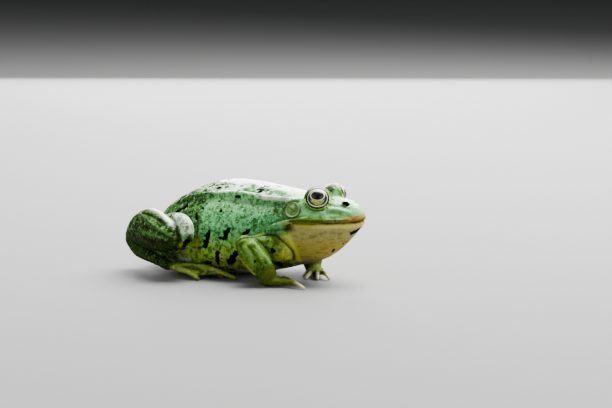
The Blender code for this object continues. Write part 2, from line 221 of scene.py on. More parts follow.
@dataclass(frozen=True)
class Muscle:
    """A muscle or digit: elliptical rings along a smooth line, with domed ends."""

    knots: tuple[tuple[float, ...], ...]  # x, y, z, half width, half height
    up: Point = (0.0, 0.0, 1.0)
    sides: int = 22
    steps: int = 8
    far: float = 99.0  # the height over the surface given to points far off
    margin: float = 3.0  # how far beyond its widest radius points are looked at
    tip_reach: float = 0.85  # shortens the way past an end, so that tips are round
    dome_angles: tuple[int, ...] = (22, 45, 65, 84)  # degrees from the last ring

    def stations(self) -> list[tuple[Vector, Vector, Vector, Vector, float, float]]:
        """Centre, along, across, upward, half width and half height of each ring."""
        rows = spline(self.knots, self.steps)
        line = [Vector(row[:3]) for row in rows]
        found = []
        for index, row in enumerate(rows):
            ahead, behind = line[min(index + 1, len(line) - 1)], line[max(index - 1, 0)]
            along = (ahead - behind).normalized()
            across = along.cross(Vector(self.up)).normalized()
            found.append((line[index], along, across, across.cross(along), row[3], row[4]))
        return found

    def build(self) -> bmesh.types.BMesh:
        """The closed form."""
        loft = Loft(self.sides)
        stations = self.stations()

        def dome(station: tuple, direction: int) -> None:
            """Rings that close an end: backwards to the first tip, forwards to the last."""
            centre, along, across, upward, width, height = station
            for angle in self.dome_angles[::direction]:
                turn = math.radians(angle * direction)
                middle = centre + along * min(width, height) * math.sin(turn)
                loft.ring(placed(across * width * math.cos(turn), upward * height * math.cos(turn),
                                 along, middle), closed=angle == self.dome_angles[-1])

        dome(stations[0], -1)
        for centre, along, across, upward, width, height in stations:
            loft.ring(placed(across * width, upward * height, along, centre))
        dome(stations[-1], 1)
        return loft.finish()

    def fit(self, points: Array) -> tuple[Array, Array, Array]:
        """Where points lie about the muscle.

        Args:
            points: The points to ask about.

        Returns:
            The height over its surface, the share of its length, and the turn about
            it, from -1 below to 1 above.
        """
        stations = self.stations()
        middles = np.array([station[0] for station in stations])
        widest = max(max(station[4:6]) for station in stations)
        over = np.full(len(points), self.far)
        share, turn = np.zeros(len(points)), np.zeros(len(points))
        reach = widest + self.margin
        box = (points > middles.min(axis=0) - reach) & (points < middles.max(axis=0) + reach)
        found = np.flatnonzero(box.all(axis=1))
        near = points[found]
        nearest = np.linalg.norm(near[:, None] - middles[None], axis=2).argmin(axis=1)
        across, upward, size = (
            np.array([station[part] for station in stations])[nearest]
            for part in (2, 3, slice(4, 6)))
        away = near - middles[nearest]
        wide = (away * across).sum(axis=1) / size[:, 0]
        high = (away * upward).sum(axis=1) / size[:, 1]
        radial = np.hypot(wide, high)
        past = np.linalg.norm(away, axis=1) / size.max(axis=1)
        over[found] = (np.maximum(radial, past * self.tip_reach) - 1.0) * size.mean(axis=1)
        share[found] = nearest / (len(stations) - 1)
        turn[found] = high / np.maximum(radial, 1e-6)
        return over, share, turn


@dataclass(frozen=True)
class Swelling:
    """A rounded swelling, such as a brow or a cheek."""

    centre: Point
    radii: Point

    def build(self) -> bmesh.types.BMesh:
        """The closed form."""
        bm = bmesh.new()
        place = Matrix.Translation(self.centre) @ Matrix.Diagonal(self.radii).to_4x4()
        bmesh.ops.create_uvsphere(bm, u_segments=40, v_segments=28, radius=1.0, matrix=place)
        return bm


@dataclass(frozen=True)
class Web:
    """A membrane between two toes, over a share of their length from the ankle."""

    one: Muscle
    two: Muscle
    share: float = 0.78
    thickness: float = 0.42
    rings: int = 15
    sides: int = 10
    least_gap: float = 0.3  # closer toes than this get a web of this width

    def build(self) -> bmesh.types.BMesh:
        """The closed form."""
        first, second = self.one.stations(), self.two.stations()
        loft = Loft(self.sides)
        for step in range(self.rings):
            at = int(self.share * step / (self.rings - 1) * (len(first) - 1))
            a, b = first[at][0], second[at][0]
            across = (b - a) / 2
            if (b - a).length <= self.least_gap:
                across = Vector((0, self.least_gap / 2, 0))
            upward = Vector((0, 0, self.thickness))
            loft.ring(placed(across, upward, Vector((1, 0, 0)), (a + b) / 2),
                      closed=step in (0, self.rings - 1))
        return loft.finish()


# ---- the animal's measures ----------------------------------------------------------
@dataclass(frozen=True)
class Station:
    """One cross-section of the body: a superellipse split at its widest height."""

    x: float
    top: float
    bottom: float
    half_width: float
    widest: float
    roof: float = 2.0  # exponent above the widest height; less than 2 is a ridge
    belly: float = 2.0  # exponent below it; more than 2 is flatter


@dataclass(frozen=True)
class Torso:
    """Head and trunk: the hull, and the forms that stand on it."""

    around: int = 72
    hull: tuple[Station, ...] = (
        Station(0.3, 23.4, 22.6, 0.3, 23.0),
        Station(-0.3, 24.6, 20.9, 2.6, 22.7),
        Station(-2.2, 26.95, 18.2, 5.1, 22.1, 1.9),
        Station(-5.5, 28.5, 14.8, 7.6, 21.7, 1.85),
        Station(-9.5, 29.3, 11.0, 9.8, 21.4, 1.9),
        Station(-14.0, 29.2, 8.0, 11.8, 21.2),
        Station(-19.0, 29.9, 6.1, 13.2, 20.8, 2.15),
        Station(-24.0, 30.5, 4.8, 14.0, 19.8, 2.1),
        Station(-30.0, 31.4, 3.1, 15.0, 18.0, 1.95),
        Station(-37.0, 32.4, 1.5, 16.6, 15.5, 1.8),
        Station(-44.0, 33.0, 0.2, 18.2, 13.5, 1.75, 2.1),
        Station(-51.0, 33.0, -0.6, 19.0, 12.5, 1.75, 2.1),
        Station(-58.0, 31.9, -1.0, 18.4, 11.8, 1.75, 2.1),
        Station(-65.0, 29.5, -0.9, 16.2, 11.0, 1.8, 2.1),
        Station(-72.0, 26.1, 0.0, 12.6, 10.5, 1.85),
        Station(-77.5, 22.6, 2.0, 9.0, 10.0, 1.9),
        Station(-81.6, 18.0, 5.0, 5.4, 10.0),
        Station(-83.8, 12.0, 9.0, 0.6, 10.4),
    )
    upper_lip: tuple[tuple[float, ...], ...] = (
        (-0.9, 1.0, 22.6, 0.9, 1.0), (-2.9, 5.3, 22.4, 0.9, 1.1),
        (-6.5, 8.1, 22.2, 0.9, 1.1), (-12.0, 10.9, 22.1, 0.9, 1.1),
        (-18.0, 12.9, 22.0, 0.9, 1.1), (-22.0, 13.7, 21.5, 0.8, 1.0),
    )
    snout_ridge: tuple[tuple[float, ...], ...] = (
        (-3.2, 2.4, 25.1, 0.8, 0.7), (-6.0, 3.6, 26.3, 1.0, 0.8), (-9.5, 5.0, 27.3, 1.0, 0.8),
    )
    back_fold: tuple[tuple[float, ...], ...] = (
        (-19.0, 8.8, 28.2, 0.9, 0.9), (-26.0, 9.4, 28.5, 1.0, 1.0),
        (-36.0, 10.0, 28.7, 1.1, 1.1), (-47.0, 10.2, 28.8, 1.1, 1.1),
        (-58.0, 9.7, 27.5, 1.1, 1.1), (-66.0, 8.2, 25.8, 1.0, 1.0),
        (-74.0, 6.0, 21.8, 0.9, 0.9),
    )
    cheek: Swelling = Swelling((-20.8, 9.2, 24.9), (5.2, 3.2, 4.3))
    brow: Swelling = Swelling((-14.1, 5.86, 29.1), (5.0, 4.7, 4.4))
    nodes: tuple[str, ...] = ("trunk", "head", "lower_jaw", "right_eardrum", "left_eardrum")

    def build_hull(self) -> bmesh.types.BMesh:
        """The hull, lofted through its stations."""
        loft = Loft(self.around)
        rows = spline([(s.x, s.top, s.bottom, s.half_width, s.widest, s.roof, s.belly)
                       for s in self.hull], 6)
        for index, (x, top, bottom, half_width, widest, roof, belly) in enumerate(rows):
            def bend(spot: Vector) -> Vector:
                """Makes the circle a superellipse with unequal halves."""
                share = 2 / (roof if spot.y >= 0 else belly)
                rise = (top - widest) if spot.y >= 0 else (widest - bottom)
                return Vector((math.copysign(abs(spot.x) ** share, spot.x) * half_width,
                               math.copysign(abs(spot.y) ** share, spot.y) * rise, 0.0))

            place = placed(Vector((0, 1, 0)), Vector((0, 0, 1)), Vector((1, 0, 0)),
                           Vector((x, 0, widest)))
            loft.ring(place, bend, closed=index in (0, len(rows) - 1))
        return loft.finish()

    def build(self) -> list[bmesh.types.BMesh]:
        """All forms of the head and trunk."""
        forms = [self.build_hull()]
        for side in Side:
            for swelling in (self.brow, self.cheek):
                forms.append(Swelling(side.of(swelling.centre), swelling.radii).build())
            for rows in (self.upper_lip, self.snout_ridge, self.back_fold):
                forms.append(Muscle(tuple(side.of(row) for row in rows)).build())
        return forms


@dataclass(frozen=True)
class Limb:
    """What both kinds of limb share."""

    side: Side
    segments: tuple[str, ...] = field(default=(), kw_only=True)

    @property
    def nodes(self) -> tuple[str, ...]:
        """The CAD nodes that this limb covers."""
        return tuple(f"{self.side.prefix}_{segment}" for segment in self.segments)

    def at(self, place: Sequence[float]) -> Vector:
        """A place of the table on this limb's side."""
        return Vector(self.side.of(place))


@dataclass(frozen=True)
class Forelimb(Limb):
    """Upper arm, forearm and hand of one side."""

    shoulder: Point
    elbow: Point
    wrist: Point
    palm: tuple[Point, Point]  # from its heel to its finger end
    fingertips: tuple[tuple[float, float], ...]
    upper_swell: tuple[Point, ...] = (
        (-0.2, 5.2, 5.0), (0.2, 4.9, 5.0), (0.6, 4.3, 4.5), (0.95, 3.5, 3.7),
    )
    fore_swell: tuple[Point, ...] = (
        (-0.1, 3.3, 3.4), (0.15, 4.1, 4.1), (0.5, 4.1, 4.3), (0.8, 3.7, 4.1), (1.0, 3.0, 3.5),
    )
    finger: tuple[float, float] = (0.86, 0.62)  # half thickness, middle and tip
    finger_root: tuple[float, float, float] = (0.55, 0.15, 1.6)  # share, spacing and height
    finger_arch: tuple[float, float] = (1.0, 0.3)  # how far the knuckle and the bend are raised
    segments: tuple[str, ...] = field(default=("upper_arm", "forearm", "hand"), kw_only=True)

    def bones(self) -> tuple[Muscle, Muscle]:
        """The muscles of the upper arm and the forearm."""
        shoulder, elbow, wrist = self.at(self.shoulder), self.at(self.elbow), self.at(self.wrist)

        def swell(start: Vector, end: Vector, rows: tuple[Point, ...]) -> tuple:
            """Knots of a muscle between two joints."""
            return tuple((*start.lerp(end, share), wide, deep) for share, wide, deep in rows)

        return (Muscle(swell(shoulder, elbow, self.upper_swell)),
                Muscle(swell(elbow, wrist, self.fore_swell), up=(1, 0, 0)))

    def hand(self) -> list[Muscle]:
        """The wrist, the palm and the four fingers."""
        heel, knuckles, wrist = self.at(self.palm[0]), self.at(self.palm[1]), self.at(self.wrist)
        middle, slim = self.finger
        share, spacing, height = self.finger_root
        knuckle_rise, bend_rise = self.finger_arch
        found = [
            Muscle(((*wrist, 2.9, 3.1), (*heel.lerp(knuckles, 0.35), 2.6, 2.2)), up=(1, 0, 0)),
            Muscle(((*heel, 2.5, 1.7), (*heel.lerp(knuckles, 0.5), 3.0, 1.8),
                    (*knuckles, 2.5, 1.3))),
        ]
        for number, (x, y) in enumerate(self.fingertips):
            tip = Vector((x, y * self.side.value, slim - 0.1))
            base = heel.lerp(knuckles, share + spacing * number)
            base.z = height
            knuckle = base.lerp(tip, 0.5) + Vector((0, 0, knuckle_rise))
            bend = knuckle.lerp(tip, 0.6) + Vector((0, 0, bend_rise))
            found.append(Muscle(
                ((*base, 1.2, 1.2), (*knuckle, middle, middle), (*bend, slim, slim),
                 (*tip, slim - 0.05, slim - 0.05)), sides=16))
        return found

    def build(self) -> list[bmesh.types.BMesh]:
        """All forms of the limb."""
        return [muscle.build() for muscle in (*self.bones(), *self.hand())]


@dataclass(frozen=True)
class Hindlimb(Limb):
    """Thigh, shank, tarsus and webbed foot of one side, folded."""

    thigh: tuple[tuple[float, ...], ...] = (
        (-79.0, 2.5, 10.9, 6.3, 6.6), (-73.0, 9.5, 12.0, 7.2, 7.6),
        (-67.0, 16.5, 14.3, 6.8, 7.3), (-61.0, 21.6, 16.6, 5.0, 6.3),
        (-56.9, 23.6, 16.8, 3.3, 5.6),
    )
    shank: tuple[tuple[float, ...], ...] = (
        (-60.5, 26.2, 15.2, 3.6, 4.8), (-65.0, 24.4, 15.5, 4.9, 6.2),
        (-71.0, 20.9, 15.8, 5.2, 7.1), (-76.5, 18.0, 15.7, 5.0, 6.8),
        (-81.6, 15.5, 14.4, 4.1, 5.3), (-85.8, 13.3, 12.0, 2.9, 3.5),
    )
    tarsus: tuple[tuple[float, ...], ...] = (
        (-86.0, 13.0, 10.6, 2.9, 3.1), (-82.6, 14.0, 7.6, 2.9, 3.0),
        (-77.5, 15.8, 6.0, 2.4, 2.4), (-71.8, 17.6, 4.7, 2.2, 1.9),
        (-67.0, 19.0, 3.6, 2.4, 1.7),
    )
    toes: tuple[tuple[Point, Point], ...] = (  # the middle and the tip, first to fifth
        ((-62.5, 15.4, 2.2), (-59.5, 13.6, 0.55)), ((-59.5, 15.8, 2.4), (-54.5, 13.4, 0.55)),
        ((-56.5, 16.8, 2.8), (-48.5, 13.6, 0.55)), ((-53.0, 18.0, 4.0), (-42.2, 14.6, 0.6)),
        ((-59.5, 21.4, 2.9), (-52.2, 22.4, 0.55)),
    )
    toe_root: tuple[float, float] = (1.15, 1.2)  # half width and half height
    toe_radii: tuple[float, float, float] = (0.95, 0.8, 0.7)  # at the joint, the bend, the tip
    toe_arch: float = 0.35  # how far the bend is raised
    segments: tuple[str, ...] = field(default=("thigh", "shank", "tarsus", "foot"), kw_only=True)

    def bones(self) -> tuple[Muscle, Muscle, Muscle]:
        """The muscles of the thigh, the shank and the tarsus."""
        return tuple(Muscle(tuple(self.side.of(row) for row in rows))
                     for rows in (self.thigh, self.shank, self.tarsus))

    def digits(self) -> list[Muscle]:
        """The five toes."""
        ankle = self.at(self.tarsus[-1][:3])
        thick, slim, slimmest = self.toe_radii
        found = []
        for middle, tip in self.toes:
            joint, end = self.at(middle), self.at(tip)
            bend = joint.lerp(end, 0.55) + Vector((0, 0, self.toe_arch))
            found.append(Muscle(
                ((*ankle.lerp(joint, 0.05), *self.toe_root), (*joint, thick, thick),
                 (*bend, slim, slim), (*end, slimmest, slimmest)), sides=16))
        return found

    def build(self) -> list[bmesh.types.BMesh]:
        """All forms of the limb."""
        toes = self.digits()
        forms = [muscle.build() for muscle in (*self.bones(), *toes)]
        return forms + [Web(one, two).build() for one, two in zip(toes, toes[1:])]


ARMS = (
    Forelimb(
        Side.RIGHT, shoulder=(-27.5, 11.6, 12.2), elbow=(-33.2, 21.0, 12.9),
        wrist=(-26.0, 19.4, 3.9), palm=((-28.0, 19.4, 2.2), (-21.6, 18.4, 1.7)),
        fingertips=((-25.6, 10.6), (-22.0, 9.2), (-18.3, 12.6), (-11.6, 19.2)),
    ),
    Forelimb(
        Side.LEFT, shoulder=(-27.5, 11.6, 12.2), elbow=(-32.6, 19.4, 12.2),
        wrist=(-25.4, 9.4, 4.4), palm=((-25.8, 9.6, 2.4), (-21.2, 5.6, 1.7)),
        fingertips=((-24.4, 1.6), (-21.4, -1.4), (-17.2, -0.8), (-13.6, 1.0)),
    ),
)
LEGS = (Hindlimb(Side.RIGHT), Hindlimb(Side.LEFT))


@dataclass(frozen=True)
class Eye:
    """Where an eyeball sits, how big it is and where it looks, on the left side."""

    centre: Point = (-14.1, 6.1, 29.2)
    radius: float = 3.7
    gaze: Point = (0.48, 0.85, 0.28)

    def axes(self, side: Side) -> Matrix:
        """Forward and level, upward, and the gaze, as the columns of a matrix.

        Args:
            side: The eye's side.

        Returns:
            A 3 by 3 matrix whose first column points towards the snout.
        """
        gaze = Vector(side.of(self.gaze)).normalized()
        forward = gaze.cross(Vector((0, 0, 1))).normalized() * side.value
        upward = forward.cross(gaze) * side.value
        return Matrix((forward, upward, gaze)).transposed()

    def about(self, points: Array, side: Side) -> tuple[Array, Array, Array]:
        """Points as seen from the middle of the eyeball.

        Args:
            points: The points to ask about.
            side: The eye's side.

        Returns:
            Their offsets from the middle, the same along the eye's axes, and their distances.
        """
        offset = points - np.array(side.of(self.centre))
        return offset, offset @ np.array(self.axes(side)), np.linalg.norm(offset, axis=1)


EYE = Eye()


# ---- modelling ----------------------------------------------------------------------
@dataclass(frozen=True)
class Stroke:
    """A ridge or a groove drawn along the hide, on one side or on both."""

    path: tuple[Point, ...]
    width: float
    height: float  # below zero for a groove
    fade: tuple[float, float] = (0.15, 0.15)  # the shares over which the ends die away
    sides: tuple[Side, ...] = (Side.RIGHT, Side.LEFT)


class Clay:
    """A surface that is worked by moving its points."""

    line_steps: int = 10  # how finely a line is divided between its knots
    margin: float = 2.5  # how far off the surface a line may lie
    blend: int = 5  # how many spots of a drawn line are averaged
    stroke_reach: float = 2.6  # how many widths a stroke is felt
    wart_reach: float = 2.2  # how many radii a wart is felt

    def __init__(self, mesh: bpy.types.Mesh) -> None:
        """Takes the points and edges of the mesh."""
        self.mesh = mesh
        self.points = np.empty(len(mesh.vertices) * 3)
        mesh.vertices.foreach_get("co", self.points)
        self.points = self.points.reshape(-1, 3)
        self.edges = np.empty(len(mesh.edges) * 2, np.int32)
        mesh.edges.foreach_get("vertices", self.edges)
        self.edges = self.edges.reshape(-1, 2)

    def settle(self) -> Array:
        """Puts the points back into the mesh.

        Returns:
            The unit normals at the points.
        """
        self.mesh.vertices.foreach_set("co", self.points.ravel())
        self.mesh.update()
        normals = np.empty(len(self.points) * 3, np.float32)
        self.mesh.vertex_normals.foreach_get("vector", normals)
        return normals.reshape(-1, 3).astype(float)

    def even_out(self, factors: Sequence[float], weight: Array | float = 1.0) -> None:
        """Moves the points towards the mean of their neighbours, pass by pass.

        Args:
            factors: How far each pass goes; one below zero goes the other way.
            weight: How strongly each point moves.
        """
        one, two = self.edges.T
        count = np.bincount(self.edges.ravel(), minlength=len(self.points))[:, None]
        amount = np.broadcast_to(np.asarray(weight, float), (len(self.points),))[:, None]
        for factor in factors:
            total = np.stack([
                np.bincount(one, self.points[two, axis], len(self.points))
                + np.bincount(two, self.points[one, axis], len(self.points))
                for axis in range(3)
            ], axis=1)
            self.points += amount * factor * (total / count - self.points)

    def smooth(self, rounds: int, weight: Array | float = 1.0) -> None:
        """Takes the roughness off without shrinking thin parts."""
        self.even_out((0.55, -0.57) * rounds, weight)

    def relax(self, rounds: int, weight: Array | float = 1.0) -> None:
        """Plain smoothing, which also softens creases."""
        self.even_out((0.5,) * rounds, weight)

    def near(self, path: Sequence[Sequence[float]], reach: float) -> tuple[Array, Array, Array]:
        """The points near a line that lies along the surface.

        Args:
            path: Knots of the line, which is drawn onto the surface.
            reach: How far from the line to look.

        Returns:
            The points' indices, their distances from the line and their shares of it.
        """
        line = np.array(spline(path, self.line_steps) if len(path) > 1 else path, float)
        low = line.min(axis=0) - reach - self.margin
        high = line.max(axis=0) + reach + self.margin
        chosen = np.flatnonzero(((self.points > low) & (self.points < high)).all(axis=1))
        if not len(chosen):
            return chosen, np.empty(0), np.empty(0)
        spots = self.points[chosen]
        drawn = np.array([spots[np.linalg.norm(spots - spot, axis=1).argmin()] for spot in line])
        if len(drawn) >= self.blend:
            kernel, spare = np.ones(self.blend) / self.blend, self.blend // 2
            padded = np.concatenate([drawn[:1]] * spare + [drawn] + [drawn[-1:]] * spare)
            drawn = np.stack([np.convolve(padded[:, k], kernel, "valid") for k in range(3)], 1)
        away = np.linalg.norm(spots[:, None] - drawn[None], axis=2)
        nearest = away.argmin(axis=1)
        away = away.min(axis=1)
        keep = away < reach
        return chosen[keep], away[keep], nearest[keep] / max(len(drawn) - 1, 1)

    def draw(self, stroke: Stroke) -> None:
        """Raises or lowers the surface along a stroke."""
        normals = self.settle()
        for side in stroke.sides:
            path = [side.of(spot) for spot in stroke.path]
            found, away, share = self.near(path, self.stroke_reach * stroke.width)
            start, end = stroke.fade
            ends = np.ones(len(found))
            if start:
                ends *= ease(share, 0.0, start)
            if end:
                ends *= ease(share, 1.0, 1.0 - end)
            lift = stroke.height * bell(away, 0.0, stroke.width) * ends
            self.points[found] += normals[found] * lift[:, None]

    def bumps(self, centres: Array, radii: Array, heights: Array) -> None:
        """Raises small round warts.

        Args:
            centres: Their places on the surface.
            radii: Their radii.
            heights: How far each stands out.
        """
        normals = self.settle()
        for centre, radius, height in zip(centres, radii, heights):
            box = (np.abs(self.points - centre) < self.wart_reach * radius).all(axis=1)
            found = np.flatnonzero(box)
            away = np.linalg.norm(self.points[found] - centre, axis=1) / radius
            self.points[found] += normals[found] * (height * bell(away, 0.0, 1.0))[:, None]


# ---- finishes -----------------------------------------------------------------------
class Tint(Enum):
    """Pigments, as display values from 0 to 255; some of them are painted shade, highlights, glints
    or glare.
    """

    FLANK = (98, 190, 118)
    FLANK_TOP = (136, 208, 134)
    FLANK_LOW = (138, 194, 68)
    # the olive foot of the flank, darkened as painted under-body shade
    FLANK_FOOT = (120, 132, 18)
    # the pale back, whitened further as painted glare; also laid on the crown and the snout's
    # bridge
    BACK = (204, 226, 194)
    MINT = (132, 206, 142)
    BACK_GREEN = (40, 92, 44)
    RUMP = (70, 112, 46)
    # the pale back fold with a painted highlight; also scattered as painted glints on the rump
    RIDGE_PALE_AND_GLINT = (240, 244, 236)
    HEAD = (110, 178, 106)
    HEAD_DARK = (28, 52, 12)
    LIP_BAND = (60, 80, 12)
    LIP_FRONT = (150, 102, 42)
    LOWER_LIP = (206, 196, 96)
    LIP_REAR = (140, 146, 20)
    MOUTH = (36, 15, 7)
    JAW = (151, 144, 83)
    THROAT = (153, 141, 55)
    THROAT_LOW = (94, 94, 70)
    THROAT_STREAK = (98, 80, 24)
    # painted shade behind the corner of the mouth
    CORNER = (46, 36, 8)
    CHEST = (192, 198, 64)
    BELLY = (164, 170, 142)
    ARM = (88, 124, 34)
    ARM_PALE = (124, 172, 88)
    ARM_DARK = (48, 68, 14)
    HAND = (78, 90, 26)
    FINGER = (224, 218, 156)
    LEG = (56, 80, 20)
    LEG_PALE = (104, 150, 84)
    # the shank's crest: pale, with a painted highlight along it
    CREST_PALE_AND_HIGHLIGHT = (240, 246, 238)
    TENDON = (92, 152, 80)
    # painted shade in the shank's grooves
    CREASE = (44, 26, 10)
    LEG_DARK = (24, 36, 8)
    # the knee patch: pale skin, whitened towards its top as a painted highlight
    KNEE = (222, 234, 218)
    KNEE_LOW = (212, 238, 202)
    TOE = (146, 168, 66)
    TOE_UNDER = (138, 120, 50)
    YELLOW = (172, 174, 32)
    DRUM = (150, 194, 120)
    DRUM_RING = (30, 52, 18)
    LID = (88, 136, 40)
    LID_PALE = (176, 190, 104)
    # painted shade in the gap between the lids and the eyeball
    LID_GAP_SHADE = (20, 28, 14)
    CREAM = (226, 220, 186)
    NOSTRIL = (74, 38, 20)
    BLACK = (5, 6, 4)

    @property
    def linear(self) -> Array:
        """The pigment as scene-linear red, green and blue."""
        shown = np.array(self.value) / 255
        return np.where(shown <= 0.04045, shown / 12.92, ((shown + 0.055) / 1.055) ** 2.4)

    @property
    def socket(self) -> Colour:
        """The pigment as a shader socket takes it."""
        return (*(float(value) for value in self.linear), 1.0)


class Graph:
    """A material's node tree, built up call by call."""

    def __init__(self, name: str) -> None:
        """Makes a material with a Principled shader."""
        self.material = bpy.data.materials.new(name)
        self.material.use_nodes = True
        self.tree = self.material.node_tree
        self.shader = self.tree.nodes["Principled BSDF"]

    def add(self, kind: str, values: dict | None = None, **settings: object) -> bpy.types.Node:
        """Adds a node.

        Args:
            kind: The node's type, without its ShaderNode prefix.
            values: Its inputs by name or number; a socket is linked, a value is set.
            **settings: Its own settings.

        Returns:
            The node.
        """
        node = self.tree.nodes.new("ShaderNode" + kind)
        for key, value in settings.items():
            setattr(node, key, value)
        for key, value in (values or {}).items():
            self.plug(node.inputs[key], value)
        return node

    def plug(self, target: bpy.types.NodeSocket, value: object) -> None:
        """Links a socket to an input, or sets the input's value."""
        if isinstance(value, bpy.types.NodeSocket):
            self.tree.links.new(value, target)
        else:
            target.default_value = value

    def math(self, operation: str, *values: object, clamp: bool = False) -> bpy.types.NodeSocket:
        """The result of a Math node."""
        node = self.add("Math", dict(enumerate(values)), operation=operation, use_clamp=clamp)
        return node.outputs[0]

    def mix(self, share: object, one: object, two: object, blend: str = "MIX"
            ) -> bpy.types.NodeSocket:
        """Two colours mixed by a share."""
        node = self.add("Mix", data_type="RGBA", blend_type=blend)
        for index, value in ((0, share), (6, one), (7, two)):
            self.plug(node.inputs[index], value)
        return node.outputs[2]

    def darker(self, colour: object, share: object, tone: Point) -> bpy.types.NodeSocket:
        """The colour with a darker tone of itself laid over a share of it."""
        return self.mix(share, colour, self.mix(1.0, colour, (*tone, 1.0), "MULTIPLY"))

    def oval(self, wide: object, high: object, size: tuple[float, float] = (1.0, 1.0)
             ) -> bpy.types.NodeSocket:
        """The distance from the middle of an oval of that half length and height."""
        shares = [self.math("DIVIDE", way, half) for way, half in zip((wide, high), size)]
        squares = [self.math("MULTIPLY", share, share) for share in shares]
        return self.math("SQRT", self.math("ADD", *squares))

    def step(self, value: object, low: float, high: float) -> bpy.types.NodeSocket:
        """A soft step from 0 at `low` to 1 at `high`."""
        node = self.add("MapRange", {"Value": value, "From Min": low, "From Max": high},
                        interpolation_type="SMOOTHSTEP")
        return node.outputs["Result"]

    def noise(self, where: object, scale: float, detail: float = 3.0, rough: float = 0.55
              ) -> bpy.types.NodeSocket:
        """Cloudy noise, 0 to 1, with `scale` swells to the metre."""
        node = self.add("TexNoise", {"Vector": where, "Scale": scale, "Detail": detail,
                                     "Roughness": rough})
        return node.outputs[0]

    def cells(self, where: object, scale: float) -> bpy.types.NodeSocket:
        """The distance from the middle of rounded cells, `scale` to the metre."""
        node = self.add("TexVoronoi", {"Vector": where, "Scale": scale, "Smoothness": 0.4},
                        feature="SMOOTH_F1")
        return node.outputs["Distance"]

    def painted(self, name: str) -> bpy.types.Node:
        """The piece's own painted layer of that name."""
        return self.add("Attribute", attribute_name=name)

    def dress(self, inputs: dict[str, object]) -> bpy.types.Material:
        """Plugs the shader's inputs by name, and hands over the material."""
        for name, value in inputs.items():
            self.plug(self.shader.inputs[name], value)
        return self.material

    def bump(self, height: object, strength: float, distance: float) -> bpy.types.NodeSocket:
        """A normal from a height, with `distance` in metres."""
        node = self.add("Bump", {"Height": height, "Strength": strength, "Distance": distance})
        return node.outputs["Normal"]


@dataclass(frozen=True)
class HideFinish:
    """Moist, granular frog skin that carries its pigments in painted layers."""

    name: str = "moist_frog_skin"
    pigment_layer: str = "pigment"
    # the marks' blue channel: pale flecks, which are painted glints of wet skin
    marks_layer: str = "marks"  # red: black marks, green: mottling, blue: pale flecks
    patch_tone: Point = (0.11, 0.22, 0.09)  # shares of the pigment
    streak_tone: Point = (0.22, 0.38, 0.18)
    net_tone: Point = (0.25, 0.35, 0.18)
    grain_tone: Point = (0.45, 0.5, 0.38)
    glint_fleck_colour: Colour = (0.60, 0.95, 0.58, 1.0)
    roughness: float = 0.40
    unevenness: float = 0.12  # how far the roughness strays
    shine: float = 0.0
    wet_layer: str = "wet"  # how thick the film of water is, 0 to 1
    wet_roughness: float = 0.20
    wet_ior: float = 1.33
    granule: float = 1300.0  # granules to the metre
    net: float = 620.0  # meshes of the dark network to the metre
    relief: float = 0.00030  # metres

    def build(self) -> bpy.types.Material:
        """The material."""
        graph = Graph(self.name)
        where = graph.add("TexCoord").outputs["Object"]
        pigment = graph.painted(self.pigment_layer).outputs["Color"]
        marks = graph.add("SeparateColor", {"Color": graph.painted(self.marks_layer)
                                            .outputs["Color"]}).outputs
        drawn_out = graph.add("Mapping", {"Vector": where, "Scale": (1.0, 1.0, 0.45)}).outputs[0]
        cloud = graph.noise(where, 620.0, 6.0, 0.70)
        streak = graph.noise(drawn_out, 950.0, 5.0, 0.68)
        fine = graph.noise(where, 2100.0, 4.0, 0.6)
        cells = graph.cells(where, self.granule)
        bent = graph.mix(0.10, where, graph.add("TexNoise", {"Vector": where, "Scale": 800.0})
                         .outputs["Color"], "LINEAR_LIGHT")
        edge = graph.add("TexVoronoi", {"Vector": bent, "Scale": self.net},
                         feature="DISTANCE_TO_EDGE").outputs["Distance"]

        colour = pigment
        for share, strength, tone in (
                (graph.step(cloud, 0.50, 0.56), 1.0, self.patch_tone),
                (graph.step(streak, 0.51, 0.58), 0.85, self.streak_tone),
                (graph.step(edge, 0.16, 0.02), 0.55, self.net_tone)):
            mottled = graph.math("MULTIPLY", share, marks["Green"])
            colour = graph.darker(colour, graph.math("MULTIPLY", mottled, strength), tone)
        grain = graph.math("MULTIPLY", graph.step(fine, 0.40, 0.70), 0.32)
        colour = graph.darker(colour, grain, self.grain_tone)
        # pale flecks: painted glints of wet skin
        fleck = graph.step(graph.noise(where, 1150.0, 4.0, 0.7), 0.56, 0.66)
        fleck = graph.math("MULTIPLY", fleck, marks["Blue"])
        colour = graph.mix(fleck, colour, graph.mix(0.6, colour, self.glint_fleck_colour))
        ragged = marks["Red"]
        for rough_edge, depth in ((cloud, 1.3), (streak, 0.8)):
            ragged = graph.math("MULTIPLY_ADD", graph.math("SUBTRACT", rough_edge, 0.5),
                                depth, ragged)
        black = graph.step(ragged, 0.42, 0.52)
        colour = graph.mix(black, colour, Tint.BLACK.socket)

        height = graph.math("MULTIPLY_ADD", fine, 0.6, graph.math("SUBTRACT", 1.0, cells))
        height = graph.math("MULTIPLY_ADD", streak, 0.8, height)
        relief = graph.bump(height, 0.6, self.relief)
        film = graph.painted(self.wet_layer).outputs["Fac"]
        film = graph.math("MULTIPLY", film, graph.math("MULTIPLY_ADD", black, -0.85, 1.0))
        return graph.dress({
            "Base Color": colour,
            "Roughness": graph.math("MULTIPLY_ADD", fine, 2 * self.unevenness,
                                    self.roughness - self.unevenness),
            "Specular IOR Level": self.shine,
            "Normal": relief,
            "Coat Weight": film,
            "Coat Roughness": self.wet_roughness,
            "Coat IOR": self.wet_ior,
            "Coat Normal": relief,
        })


